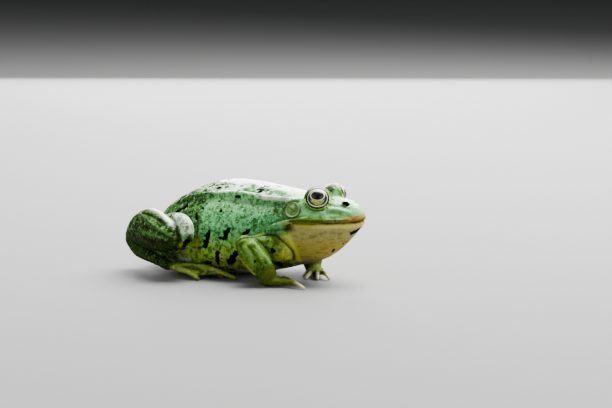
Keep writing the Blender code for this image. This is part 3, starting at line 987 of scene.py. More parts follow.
@dataclass(frozen=True)
class EyeFinish:
    """Glossy eye: an oval pupil with a gold rim in a speckled golden iris."""

    name: str = "glossy_frog_eye"
    layer: str = "gaze"  # millimetres forward, upward and along the gaze
    pupil: tuple[float, float] = (2.28, 1.60)  # half length and half height
    pupil_rise: float = 0.72
    rim: float = 1.10
    iris: float = 2.52
    bright_ring: tuple[float, float] = (3.64, 3.04)  # half length and half height
    ring_width: float = 0.085  # as a share of the ring's size
    gold: Colour = (0.50, 0.60, 0.07, 1)
    gold_fleck: Colour = (0.10, 0.15, 0.02, 1)
    silver: Colour = (0.50, 0.54, 0.50, 1)
    silver_streak: Colour = (0.012, 0.022, 0.012, 1)
    dark: Colour = (0.012, 0.024, 0.008, 1)
    surround: Colour = (0.006, 0.012, 0.006, 1)
    rim_gold: Colour = (0.82, 0.80, 0.52, 1)
    black: Colour = (0.002, 0.002, 0.003, 1)
    ring_cream: Colour = (1.0, 1.0, 0.78, 1)
    wet_ior: float = 1.30

    def build(self) -> bpy.types.Material:
        """The material."""
        graph = Graph(self.name)
        gaze = graph.painted(self.layer).outputs["Vector"]
        spot = graph.add("SeparateXYZ", {"Vector": gaze}).outputs
        upward = graph.math("SUBTRACT", spot["Y"], self.pupil_rise)
        oval = graph.oval(spot["X"], upward, self.pupil)
        radius = graph.oval(spot["X"], spot["Y"])
        ringed = graph.oval(spot["X"], spot["Y"], self.bright_ring)
        speckle = graph.noise(gaze, 2.6, 4.0, 0.7)
        veins = graph.noise(gaze, 1.1, 3.0, 0.6)
        drawn_out = graph.add("Mapping", {"Vector": gaze, "Scale": (0.5, 1.6, 1.0)}).outputs[0]
        streaks = graph.noise(drawn_out, 1.9, 3.0, 0.6)

        gold = graph.mix(graph.step(speckle, 0.44, 0.58), self.gold, self.gold_fleck)
        silver = graph.mix(graph.step(streaks, 0.46, 0.56), self.silver, self.silver_streak)
        colour = graph.mix(graph.step(spot["Y"], 1.0, 1.9), self.dark, silver)
        colour = graph.mix(graph.step(spot["Y"], -0.55, -0.85), colour, gold)
        edge = graph.math("MULTIPLY_ADD", veins, 0.35, radius)
        colour = graph.mix(graph.step(edge, self.iris, self.iris + 0.2), colour, self.surround)
        for size, tone in ((self.rim, self.rim_gold), (1.0, self.black)):
            colour = graph.mix(graph.step(oval, size + 0.03, size - 0.03), colour, tone)
        inner = 1.0 - self.ring_width
        ring = graph.math("MULTIPLY", graph.step(ringed, inner - 0.01, inner + 0.01),
                          graph.step(ringed, 1.01, 0.99))
        colour = graph.mix(ring, colour, self.ring_cream)
        return graph.dress({
            "Base Color": colour, "Roughness": 0.35, "Specular IOR Level": 0.1,
            "Normal": graph.bump(speckle, 0.25, 0.00003), "Coat Weight": 1.0,
            "Coat Roughness": 0.03, "Coat IOR": self.wet_ior,
        })


@dataclass(frozen=True)
class FloorFinish:
    """Plain pale board."""

    name: str = "pale_board"
    colour: Colour = (0.165, 0.165, 0.163, 1.0)
    cloud: float = 0.96  # how dark its clouds are, as a share of the colour

    def build(self) -> bpy.types.Material:
        """The material."""
        graph = Graph(self.name)
        where = graph.add("TexCoord").outputs["Object"]
        clouds = (*(value * self.cloud for value in self.colour[:3]), 1.0)
        return graph.dress({
            "Base Color": graph.mix(graph.noise(where, 30.0), self.colour, clouds),
            "Roughness": 0.9, "Specular IOR Level": 0.05,
        })


# ---- pieces -------------------------------------------------------------------------
@dataclass
class Bench:
    """Carries the maker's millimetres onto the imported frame, in metres."""

    shift: Vector = field(default_factory=Vector)

    def __post_init__(self) -> None:
        """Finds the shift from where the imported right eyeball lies."""
        low, high = (Vector(corner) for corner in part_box("right_eye"))
        self.shift = (low + high) / 2 - Vector(Side.RIGHT.of(EYE.centre)) * MM

    def place(self, point: Sequence[float]) -> Vector:
        """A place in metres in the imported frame."""
        return Vector(point) * MM + self.shift

    def show(self, mesh: bpy.types.Mesh, name: str) -> bpy.types.Object:
        """Carries the mesh over and links it as a piece that rides on the body."""
        mesh.transform(Matrix.Translation(self.shift) @ Matrix.Scale(MM, 4))
        mesh.update()
        piece = linked(name, mesh)
        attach(piece, ROOT_BODY)
        return piece


@dataclass(frozen=True)
class Mark:
    """A black mark: a short line on the hide and its half width."""

    path: tuple[Point, ...]
    width: float
    sides: tuple[Side, ...] = (Side.RIGHT, Side.LEFT)


STROKES: dict[str, Stroke] = {
    # along the back, from the eye to the hip, and the hollow under it
    "back_fold": Stroke((
        (-18.5, 8.6, 29.0), (-22.0, 9.6, 28.7), (-28.0, 10.6, 28.7), (-33.0, 10.8, 28.9),
        (-38.0, 10.3, 29.5), (-47.0, 10.4, 29.6), (-56.0, 10.2, 28.7), (-65.0, 8.9, 26.3),
        (-73.0, 6.6, 22.6)), 0.85, 0.60),
    "under_fold": Stroke((
        (-24.0, 11.6, 27.0), (-37.0, 12.6, 27.2), (-50.0, 12.6, 27.0), (-62.0, 11.2, 24.9)),
        1.0, -0.22),
    # from the eye over the eardrum towards the shoulder
    "ear_fold": Stroke((
        (-18.6, 8.9, 28.6), (-21.6, 10.6, 28.5), (-24.3, 11.7, 27.0), (-25.2, 12.9, 24.6),
        (-24.3, 13.8, 22.4)), 0.55, 0.42, (0.1, 0.3)),
    "ear_groove": Stroke((
        (-18.3, 9.6, 27.9), (-21.2, 11.2, 27.9), (-23.4, 12.2, 26.6), (-24.0, 13.2, 24.4),
        (-22.8, 14.0, 22.9)), 0.34, -0.42, (0.1, 0.3)),
    # from the corner of the mouth back to the shoulder
    "cheek_fold": Stroke((
        (-20.5, 14.1, 21.9), (-24.0, 14.5, 20.8), (-28.0, 14.6, 19.6), (-31.0, 15.4, 18.4)),
        0.8, 0.62, (0.2, 0.4)),
    "cheek_groove": Stroke((
        (-21.0, 13.9, 19.6), (-24.3, 14.1, 18.9), (-27.0, 14.6, 17.6)), 0.6, -0.50),
    "cheek_crease": Stroke((
        (-20.8, 13.6, 23.2), (-22.6, 13.8, 22.6), (-25.5, 13.7, 21.6), (-28.4, 14.6, 20.3),
        (-31.0, 15.2, 19.4)), 0.45, -0.40, (0.2, 0.4)),
    "neck_wrinkle": Stroke((
        (-26.4, 12.6, 25.6), (-28.4, 13.9, 22.6), (-31.4, 15.4, 19.4)), 0.6, -0.28),
    # the mouth and its lips
    "mouth": Stroke((
        (-20.2, 13.6, 21.3), (-18.0, 13.0, 21.45), (-13.0, 11.3, 21.45), (-9.0, 9.8, 21.5),
        (-5.5, 7.8, 21.6), (-3.0, 5.7, 21.7), (-1.0, 3.0, 21.8), (0.0, 0.0, 21.8)),
        0.34, -0.70, (0.06, 0.0)),
    "upper_lip": Stroke((
        (-19.0, 13.5, 22.4), (-13.0, 11.6, 22.5), (-9.0, 10.0, 22.5), (-5.5, 8.1, 22.6),
        (-3.0, 5.8, 22.7), (-1.0, 3.0, 22.8), (0.0, 0.0, 22.8)), 0.55, 0.20, (0.1, 0.0)),
    "lower_lip": Stroke((
        (-18.0, 12.6, 20.5), (-13.0, 10.8, 20.6), (-9.0, 9.4, 20.7), (-5.5, 7.4, 20.8),
        (-3.0, 5.3, 20.9), (-1.0, 2.7, 21.0), (-0.2, 0.0, 21.0)), 0.5, 0.18, (0.1, 0.0)),
    "mouth_corner": Stroke((
        (-20.2, 13.6, 21.3), (-21.4, 13.8, 20.3), (-22.6, 13.8, 18.6)), 0.4, -0.45, (0.1, 0.5)),
    # the ridge from the eye past the nostril, the hollow under it and the cheek's crease
    "snout_ridge": Stroke((
        (-10.0, 5.9, 27.9), (-7.4, 4.7, 27.5), (-5.2, 3.5, 27.2), (-3.0, 2.2, 26.0)),
        0.7, 0.28),
    "snout_hollow": Stroke((
        (-10.0, 8.2, 25.0), (-7.0, 6.9, 24.9), (-4.5, 5.3, 24.5)), 0.9, -0.35),
    "snout_crease": Stroke((
        (-10.9, 8.6, 25.6), (-8.7, 6.9, 26.1), (-6.4, 5.6, 25.9), (-3.8, 4.7, 25.3),
        (-2.1, 3.5, 25.0)), 0.55, 0.36),
    "lid_crease": Stroke((
        (-9.6, 8.3, 26.5), (-12.0, 10.3, 25.3), (-15.5, 10.9, 25.2), (-18.0, 10.2, 26.6)),
        0.35, -0.24),
    # where the arm lies against the chest and the flank
    "arm_contour": Stroke((
        (-35.2, 22.6, 13.4), (-34.4, 22.8, 15.2), (-32.4, 21.6, 16.5), (-30.4, 18.4, 16.8),
        (-27.7, 15.1, 16.9), (-25.9, 14.1, 16.6), (-24.6, 13.5, 15.6), (-22.8, 12.5, 13.8),
        (-21.4, 11.0, 11.7), (-21.8, 9.2, 9.3), (-23.7, 6.6, 6.7)), 0.42, -0.50),
    "arm_fold": Stroke((
        (-30.4, 19.7, 16.3), (-28.5, 19.8, 14.9), (-27.0, 18.8, 13.3), (-26.2, 17.8, 11.3),
        (-26.0, 15.9, 9.2)), 0.38, -0.45),
    "forearm_ridge": Stroke((
        (-31.2, 22.3, 15.5), (-30.0, 21.9, 14.8), (-28.6, 21.6, 13.5), (-27.2, 21.4, 11.9),
        (-25.7, 20.9, 10.0), (-24.9, 19.5, 7.1)), 0.7, 0.34),
    "forearm_hollow": Stroke((
        (-31.0, 23.8, 14.6), (-29.3, 23.9, 12.4), (-27.6, 23.4, 9.8), (-26.4, 22.6, 7.4)),
        0.5, -0.42),
    "forearm_side": Stroke((
        (-32.9, 24.3, 14.2), (-31.4, 24.4, 12.8), (-30.0, 24.4, 11.2), (-28.6, 24.1, 9.0)),
        0.6, 0.34),
    "forearm_rear": Stroke((
        (-35.6, 23.4, 10.8), (-32.4, 23.6, 7.0), (-30.0, 23.5, 5.1), (-28.6, 22.8, 3.9)),
        0.42, 0.30),
    "elbow_wrinkle": Stroke((
        (-34.6, 22.8, 13.6), (-32.8, 24.2, 12.6), (-31.4, 24.8, 10.6)), 0.4, -0.26),
    # the groin, between the knee and the flank
    "groin": Stroke((
        (-57.5, 15.1, 21.9), (-56.2, 16.7, 19.4), (-55.7, 17.9, 16.8), (-55.2, 18.6, 13.4),
        (-55.5, 18.6, 10.3), (-56.4, 17.4, 6.0)), 0.42, -0.50),
    "groin_fold": Stroke((
        (-52.6, 16.6, 19.6), (-52.0, 18.3, 15.0), (-52.4, 18.5, 10.0)), 0.9, 0.22),
    "flank_wrinkle": Stroke((
        (-48.6, 16.6, 20.8), (-48.2, 18.0, 17.2), (-48.8, 18.6, 13.4)), 0.6, -0.16),
    "shoulder_wrinkle": Stroke((
        (-37.0, 14.8, 21.6), (-37.6, 16.2, 18.6), (-38.6, 16.9, 15.0)), 0.7, -0.18),
    # long tendons of the shank, and the hollows between them
    "shank_crest": Stroke((
        (-75.3, 18.0, 22.5), (-72.8, 19.1, 22.7), (-69.5, 21.5, 22.5), (-66.5, 23.4, 21.9),
        (-63.4, 25.5, 21.0), (-60.9, 26.8, 20.0), (-59.2, 27.5, 18.9)), 0.9, 0.34),
    "shank_tendon": Stroke((
        (-74.6, 22.2, 20.2), (-69.5, 26.3, 19.6), (-64.5, 28.8, 18.2), (-60.8, 29.4, 16.9),
        (-58.6, 29.0, 15.6)), 0.55, 0.42),
    "shank_line": Stroke((
        (-76.5, 23.7, 15.6), (-69.5, 27.7, 15.6), (-64.1, 29.4, 15.6), (-59.2, 29.3, 14.5)),
        0.6, 0.42),
    "shank_hollow": Stroke((
        (-76.0, 20.8, 21.2), (-70.6, 24.2, 21.2), (-65.6, 26.6, 20.2), (-61.4, 28.2, 18.8)),
        0.5, -0.50),
    "shank_groove": Stroke((
        (-78.0, 22.6, 17.8), (-70.4, 26.9, 17.6), (-64.0, 29.1, 16.9), (-60.0, 29.6, 15.8)),
        0.5, -0.48),
    "shank_shadow": Stroke((
        (-75.5, 24.0, 13.9), (-68.7, 27.7, 13.6), (-63.6, 29.0, 13.1), (-60.4, 28.7, 12.3)),
        0.6, -0.48),
    # between the shank and the knee
    "knee_groove": Stroke((
        (-64.4, 22.4, 21.9), (-62.6, 23.9, 21.6), (-59.9, 25.7, 20.6), (-58.5, 26.6, 19.1),
        (-57.4, 27.3, 17.2), (-57.0, 27.3, 15.1), (-57.5, 25.9, 12.6)), 0.5, -0.60,
        (0.1, 0.1)),
    "tarsus_edge": Stroke((
        (-84.0, 16.8, 7.6), (-78.0, 18.0, 5.8), (-71.0, 19.6, 4.6)), 0.5, 0.25),
}


@dataclass(frozen=True)
class Lids:
    """The opening and the rim of the eyelids, about an eyeball."""

    half_length: float = 3.5
    half_height: float = 3.2
    rim: float = 0.26  # how far the rim stands over the eyeball
    depth: float = 0.8  # how far the socket lies under the eyeball's surface
    furrow: float = 0.12  # how deep the furrow about the rim is
    furrow_oval: float = 1.42  # where it runs, as a share of the opening
    furrow_width: float = 0.10
    fade: tuple[float, float] = (1.25, 1.75)  # the lids pass into the hide between these
    far: float = 9.0  # farther than this from the eyeball's middle nothing is moved

    def oval(self, local: Array) -> Array:
        """How far out points are as shares of the opening, along the eye's axes."""
        return np.hypot(local[:, 0] / self.half_length, local[:, 1] / self.half_height)

    def work(self, clay: Clay) -> None:
        """Opens the lids on both sides."""
        for side in Side:
            offset, local, reach = EYE.about(clay.points, side)
            oval = self.oval(local)
            front = (local[:, 2] > 0) & (reach < self.far)
            furrow = self.furrow * bell(oval, self.furrow_oval, self.furrow_width)
            wanted = EYE.radius + self.rim - furrow
            across = oval * EYE.radius / np.maximum(reach, 1e-6)  # seen along the gaze
            socket = EYE.radius - self.depth + (self.rim + self.depth) * ease(across, 0.92, 1.0)
            wanted = np.where(across < 1.0, socket, wanted)
            share = ease(oval, self.fade[1], self.fade[0]) * front
            wanted = reach + share * (np.maximum(wanted, 0.5) - reach)
            clay.points += offset * ((wanted / np.maximum(reach, 1e-6)) - 1.0)[:, None]


@dataclass
class Hide:
    """The skin of the whole animal, in one closed piece."""

    torso: Torso = field(default_factory=Torso)
    arms: tuple[Forelimb, ...] = ARMS
    legs: tuple[Hindlimb, ...] = LEGS
    lids: Lids = field(default_factory=Lids)
    finish: HideFinish = field(default_factory=HideFinish)
    voxel: float = 0.46
    rough_voxel: float = 0.7
    evenness: int = 9  # pairs of smoothing passes after the fusing
    drum_centre: Point = (-20.6, 12.4, 25.9)
    drum_radius: float = 2.4
    drum_dish: float = -0.30  # how deep the eardrum lies
    drum_rings: tuple[Point, ...] = (  # height, share of the radius, width
        (0.22, 1.08, 0.13), (-0.16, 1.32, 0.12), (0.20, 0.0, 0.35))
    nostril: tuple[Point, ...] = ((-5.5, 3.1, 27.7), (-5.0, 2.9, 27.6), (-4.4, 2.7, 27.4))
    mouth_rear: float = -22.5
    mouth_level: float = 21.5
    wart_count: int = 420
    wart_radii: tuple[float, float] = (0.35, 0.8)
    wart_heights: tuple[float, float] = (0.04, 0.15)
    strokes: dict[str, Stroke] = field(default_factory=lambda: STROKES)
    marks_on_both: tuple[tuple[tuple[Point, ...], float], ...] = (  # paths and half widths
        (((-70.7, 10.0, 20.6), (-67.0, 10.9, 22.3), (-64.2, 11.3, 23.8)), 0.7),
        (((-25.3, 17.0, 12.2), (-25.1, 16.6, 11.8)), 0.7),
        (((-28.9, 9.2, 6.6), (-28.6, 5.9, 4.8)), 1.0),
        (((-28.1, 24.0, 9.1), (-28.0, 23.9, 9.0)), 0.45),
        (((-45.3, 5.7, 31.5), (-45.0, 5.6, 31.5)), 0.55),
        (((-58.2, 5.8, 30.3), (-57.6, 4.0, 31.2)), 0.7),
        (((-53.7, 5.6, 31.2), (-52.8, 5.7, 31.3)), 0.55),
        (((-66.0, 5.2, 27.5), (-64.9, 4.6, 28.3)), 0.7),
        (((-71.1, 4.4, 25.1), (-69.1, 3.7, 25.6)), 0.8),
    )
    marks_on_right: tuple[tuple[tuple[Point, ...], float], ...] = (
        (((-50.5, 18.5, 15.9), (-51.0, 18.7, 13.8), (-51.6, 18.9, 11.6)), 1.0),
        (((-43.0, 17.4, 17.9), (-44.2, 18.0, 15.6)), 0.8),
        (((-45.9, 18.3, 14.9), (-44.6, 18.2, 14.7)), 0.65),
        (((-34.9, 18.4, 15.3), (-34.0, 18.0, 16.1)), 0.75),
        (((-37.3, 16.6, 16.5), (-35.9, 16.0, 18.1)), 0.7),
        (((-43.4, 15.4, 6.4), (-42.0, 16.2, 8.2), (-40.6, 16.5, 9.8)), 1.25),
        (((-47.3, 18.1, 9.7), (-48.5, 15.6, 5.2)), 0.75),
        (((-53.0, 16.4, 5.4), (-51.1, 16.4, 5.6)), 0.8),
        (((-45.3, 12.4, 3.2), (-45.0, 11.5, 2.8)), 0.6),
        (((-57.7, 14.8, 22.2), (-56.8, 16.2, 20.3)), 0.5),
        (((-48.0, 14.7, 24.0), (-47.5, 14.8, 23.7)), 0.5),
        (((-55.7, 14.0, 24.0), (-55.4, 14.2, 23.9)), 0.4),
        (((-53.9, 26.2, 14.2), (-54.6, 24.6, 13.8)), 0.6),
        (((-56.7, 24.5, 12.0), (-54.6, 26.2, 13.3)), 0.75),
        (((-43.8, 11.3, 28.4), (-41.9, 11.2, 28.9)), 0.45),
        (((-2.8, 2.0, 17.8), (-1.8, -0.4, 18.8)), 1.1),
        (((-6.7, 1.7, 13.9), (-6.9, 1.3, 13.6)), 0.35),
        (((-10.4, 2.7, 10.8), (-9.2, 3.4, 12.0)), 0.45),
        (((-38.2, 5.9, 30.9), (-36.1, 6.0, 30.7)), 0.5),
        (((-32.6, 1.2, 31.7), (-31.7, 1.3, 31.6)), 0.4),
        (((-27.4, 1.0, 31.0), (-27.2, 0.8, 30.8)), 0.35),
        (((-59.6, 7.4, 28.9), (-59.0, 7.1, 29.3)), 0.5),
    )
    marks_on_left: tuple[tuple[tuple[Point, ...], float], ...] = (
        (((-42.0, 17.4, 17.0), (-42.8, 17.8, 13.8)), 0.95),
        (((-48.6, 18.4, 14.6), (-49.8, 18.4, 13.4)), 0.8),
        (((-51.5, 17.0, 18.8), (-52.0, 17.0, 18.2)), 0.6),
        (((-38.0, 16.4, 14.4), (-37.6, 16.3, 13.4)), 0.7),
        (((-46.0, 17.0, 8.0), (-44.4, 16.6, 6.4)), 1.1),
        (((-51.2, 17.6, 9.6), (-51.8, 16.8, 7.0)), 0.8),
        (((-40.4, 12.8, 27.0), (-39.6, 12.6, 27.2)), 0.5),
        (((-34.8, 3.4, 31.6), (-33.6, 3.8, 31.3)), 0.5),
        (((-40.6, 2.2, 32.4), (-41.6, 2.6, 32.4)), 0.45),
        (((-49.6, 6.8, 31.0), (-50.6, 6.4, 31.3)), 0.6),
        (((-56.6, 23.6, 12.6), (-54.8, 25.6, 13.6)), 0.8),
    )

    def marks(self) -> list[Mark]:
        """All black marks."""
        tables = ((self.marks_on_both, tuple(Side)), (self.marks_on_right, (Side.RIGHT,)),
                  (self.marks_on_left, (Side.LEFT,)))
        return [Mark(path, width, sides) for rows, sides in tables for path, width in rows]

    def fused(self) -> bpy.types.Mesh:
        """One even surface over all forms."""
        whole = bmesh.new()
        for part in (self.torso, *self.arms, *self.legs):
            for form in part.build():
                held = as_mesh(form, "form")
                whole.from_mesh(held)
                bpy.data.meshes.remove(held)
        mesh = as_mesh(whole, "hide")
        holder = linked("hide_form", mesh)
        remesh = holder.modifiers.new("one surface", "REMESH")
        remesh.mode = "VOXEL"
        remesh.voxel_size = self.voxel
        graph = bpy.context.evaluated_depsgraph_get()
        surface = bpy.data.meshes.new_from_object(holder.evaluated_get(graph))
        bpy.data.objects.remove(holder)
        bpy.data.meshes.remove(mesh)
        surface.name = "hide"
        return surface

    def drop_bubbles(self, bm: bmesh.types.BMesh) -> None:
        """Deletes the tiny closed pockets that the fusing leaves inside."""
        unseen, islands = set(bm.verts), []
        while unseen:
            island = [unseen.pop()]
            for vert in island:  # grows while it is read
                for edge in vert.link_edges:
                    other = edge.other_vert(vert)
                    if other in unseen:
                        unseen.discard(other)
                        island.append(other)
            islands.append(island)
        pockets = sorted(islands, key=len)[:-1]
        bmesh.ops.delete(bm, geom=[vert for pocket in pockets for vert in pocket],
                         context="VERTS")

    def refine(self, mesh: bpy.types.Mesh) -> None:
        """Divides the faces about the eyes, nostrils, eardrums and mouth."""
        bm = bmesh.new()
        bm.from_mesh(mesh)
        self.drop_bubbles(bm)
        points = np.array([vert.co[:] for vert in bm.verts])
        points[:, 1] = np.abs(points[:, 1])
        chosen = (points[:, 0] > self.mouth_rear) & (np.abs(points[:, 2] - self.mouth_level) < 1.0)
        for centre, radii in ((EYE.centre, (6.0, 6.0, 6.0)), (self.nostril[1], (1.8, 1.8, 1.8)),
                              (self.drum_centre, (4.0, 2.5, 4.0))):
            chosen |= ball(points, centre, radii, 0.01) > 0.5
        bm.verts.ensure_lookup_table()
        edges = [edge for edge in bm.edges
                 if chosen[edge.verts[0].index] and chosen[edge.verts[1].index]]
        bmesh.ops.subdivide_edges(bm, edges=edges, cuts=1, use_grid_fill=True)
        bm.to_mesh(mesh)
        bm.free()

    def drum_reach(self, points: Array, side: Side) -> Array:
        """Distances from the middle of an eardrum, as shares of its radius."""
        away = np.linalg.norm(points - np.array(side.of(self.drum_centre)), axis=1)
        return np.where(points[:, 1] * side.value > 0, away, 99.0) / self.drum_radius

    def work_nostrils(self, clay: Clay) -> None:
        """Raises a rim about each nostril and sinks its opening."""
        inner = tuple((x, y - 1.1, z + 0.3) for x, y, z in self.nostril)
        for side in Side:
            for path, width, height in ((inner, 0.70, 0.40), (self.nostril, 0.60, -1.0)):
                clay.draw(Stroke(path, width, height, (0.0, 0.0), (side,)))

    def work_drums(self, clay: Clay) -> None:
        """Lays a shallow dish with a raised rim for each eardrum."""
        for side in Side:
            normals = clay.settle()
            near = self.drum_reach(clay.points, side)
            lift = self.drum_dish * ease(near, 1.0, 0.82)
            for height, middle, width in self.drum_rings:
                lift = lift + height * bell(near, middle, width)
            clay.points += normals * lift[:, None]

    def warts(self, clay: Clay) -> None:
        """Scatters low warts on the flanks, the rump and the legs."""
        draw = np.random.default_rng(SEED)
        normals = clay.settle()
        points = clay.points
        open_skin = ((points[:, 0] < -26.0) & (points[:, 2] > 7.0)
                     & (normals[:, 2] > -0.2)).astype(float)
        arms = np.minimum.reduce([muscle.fit(points)[0] for arm in self.arms
                                  for muscle in arm.bones()])
        open_skin *= ease(arms, 0.0, 1.5)
        chosen = draw.choice(len(points), self.wart_count, replace=False,
                             p=open_skin / open_skin.sum())
        clay.bumps(points[chosen].copy(), draw.uniform(*self.wart_radii, len(chosen)),
                   draw.uniform(*self.wart_heights, len(chosen)))

    def shape(self) -> Clay:
        """The finished surface.

        Returns:
            The worked surface, in the maker's millimetres.
        """
        mesh = self.fused()
        self.refine(mesh)
        clay = Clay(mesh)
        clay.smooth(self.evenness)
        x, _, z = clay.points.T
        trunk = ease(x, -22.0, -28.0) * ease(z, 6.0, 12.0)
        clay.relax(5, trunk * 0.6)
        for stroke in self.strokes.values():
            clay.draw(stroke)
        self.work_drums(clay)
        self.lids.work(clay)
        self.work_nostrils(clay)
        self.warts(clay)
        self.wrinkle(clay)
        clay.smooth(1, 0.5)
        low = clay.points[:, 2].min()
        clay.points[:, 2] = np.maximum(clay.points[:, 2], max(low, 0.0))
        clay.settle()
        return clay

    def wrinkle(self, clay: Clay) -> None:
        """Gives the skin its slight unevenness, drawn out upwards on the flanks."""
        normals = clay.settle()
        x, _, z = clay.points.T
        flank = window(x, -60.0, -54.0, -28.0, -22.0) * window(z, 5.0, 9.0, 25.0, 28.0)
        swell = (wander(clay.points, 3.2, 1.0) * 0.10 + wander(clay.points, 1.3, 2.0) * 0.05
                 + wander(clay.points, (1.2, 1.2, 4.5), 3.0) * 0.13 * flank)
        calm = 0.25 + 0.75 * ease(x, -16.0, -26.0)
        clay.points += normals * (swell * calm)[:, None]


class Painter:
    """Lays pigments and marks on a worked surface."""

    line_reach: float = 2.4  # how many widths a line or a mark is felt
    calming: float = 0.7  # how much of the mottling a full line takes away

    def __init__(self, clay: Clay) -> None:
        """Starts with bare layers."""
        self.clay = clay
        self.points = clay.points
        self.normals = clay.settle()
        self.colour = np.zeros((len(self.points), 3))
        self.marks = np.zeros((len(self.points), 3))
        self.wet = np.zeros(len(self.points))

    def wash(self, tint: Tint, strength: Array | float = 1.0) -> None:
        """Covers with a pigment, as strongly as told at each point."""
        amount = np.broadcast_to(np.asarray(strength, float), (len(self.points),))[:, None]
        self.colour += amount * (tint.linear - self.colour)

    def layers(self, washes: Sequence[tuple[Tint, Array | float]], within: Array | float = 1.0
               ) -> None:
        """Covers with one wash after another, all within the same zone."""
        for tint, strength in washes:
            self.wash(tint, within * strength)

    def line(self, tint: Tint, path: tuple[Point, ...], width: float, strength: float) -> None:
        """A soft line of pigment on both sides, which calms the mottling under it.

        Args:
            tint: The pigment.
            path: Knots of the line.
            width: Its half width.
            strength: How strongly it covers.
        """
        for side in Side:
            found, away, share = self.clay.near([side.of(p) for p in path],
                                                self.line_reach * width)
            amount = strength * bell(away, 0.0, width) * window(share, 0.0, 0.08, 0.92, 1.0)
            self.colour[found] += amount[:, None] * (tint.linear - self.colour[found])
            self.marks[found, 1:] *= 1.0 - self.calming * amount[:, None]

    def mark(self, mark: Mark) -> None:
        """Adds a black mark to the marks layer."""
        for side in mark.sides:
            found, away, _ = self.clay.near([side.of(p) for p in mark.path],
                                            self.line_reach * mark.width)
            value = np.clip(1.0 - 0.5 * away / mark.width, 0.0, 1.0)
            self.marks[found, 0] = np.maximum(self.marks[found, 0], value)

    def scatter(self, tint: Tint, where: Array, count: int, size: tuple[float, float],
                strength: float, seed: int, least: float = 1e-6) -> None:
        """Small ragged spots of pigment.

        Args:
            tint: The pigment.
            where: How likely a spot is at each point.
            count: How many spots.
            size: The smallest and the largest radius.
            strength: How strongly they cover.
            seed: Shifts the pattern.
            least: Added to `where`, so that every point can be drawn.
        """
        draw = np.random.default_rng(SEED + seed)
        where = where + least
        chosen = draw.choice(len(where), count, replace=False, p=where / where.sum())
        for centre, radius in zip(self.points[chosen], draw.uniform(*size, count)):
            stretch = draw.uniform(0.6, 1.4, 3)
            found = np.flatnonzero((np.abs(self.points - centre) < 1.5 * radius).all(axis=1))
            away = np.linalg.norm((self.points[found] - centre) * stretch, axis=1) / radius
            amount = strength * ease(away, 1.0, 0.5) * np.minimum(where[found] * 2.0, 1.0)
            self.colour[found] += amount[:, None] * (tint.linear - self.colour[found])

    def texture(self, mottling: float, flecks: float, strength: Array | float = 1.0) -> None:
        """Sets how strong the mottling and the pale flecks are; the flecks are painted glints of
        wet skin.
        """
        amount = np.broadcast_to(np.asarray(strength, float), (len(self.points),))
        self.marks[:, 1] += amount * (mottling - self.marks[:, 1])
        self.marks[:, 2] += amount * (flecks - self.marks[:, 2])

    def lay(self, mesh: bpy.types.Mesh, finish: HideFinish) -> None:
        """Writes both layers into the mesh."""
        for name, values in ((finish.pigment_layer, self.colour), (finish.marks_layer, self.marks)):
            layer = mesh.color_attributes.new(name, "FLOAT_COLOR", "POINT")
            opaque = np.ones((len(values), 4), np.float32)
            opaque[:, :3] = np.clip(values, 0.0, 1.0)
            layer.data.foreach_set("color", opaque.ravel())
        film = mesh.attributes.new(finish.wet_layer, "FLOAT", "POINT")
        film.data.foreach_set("value", self.wet.astype(np.float32))


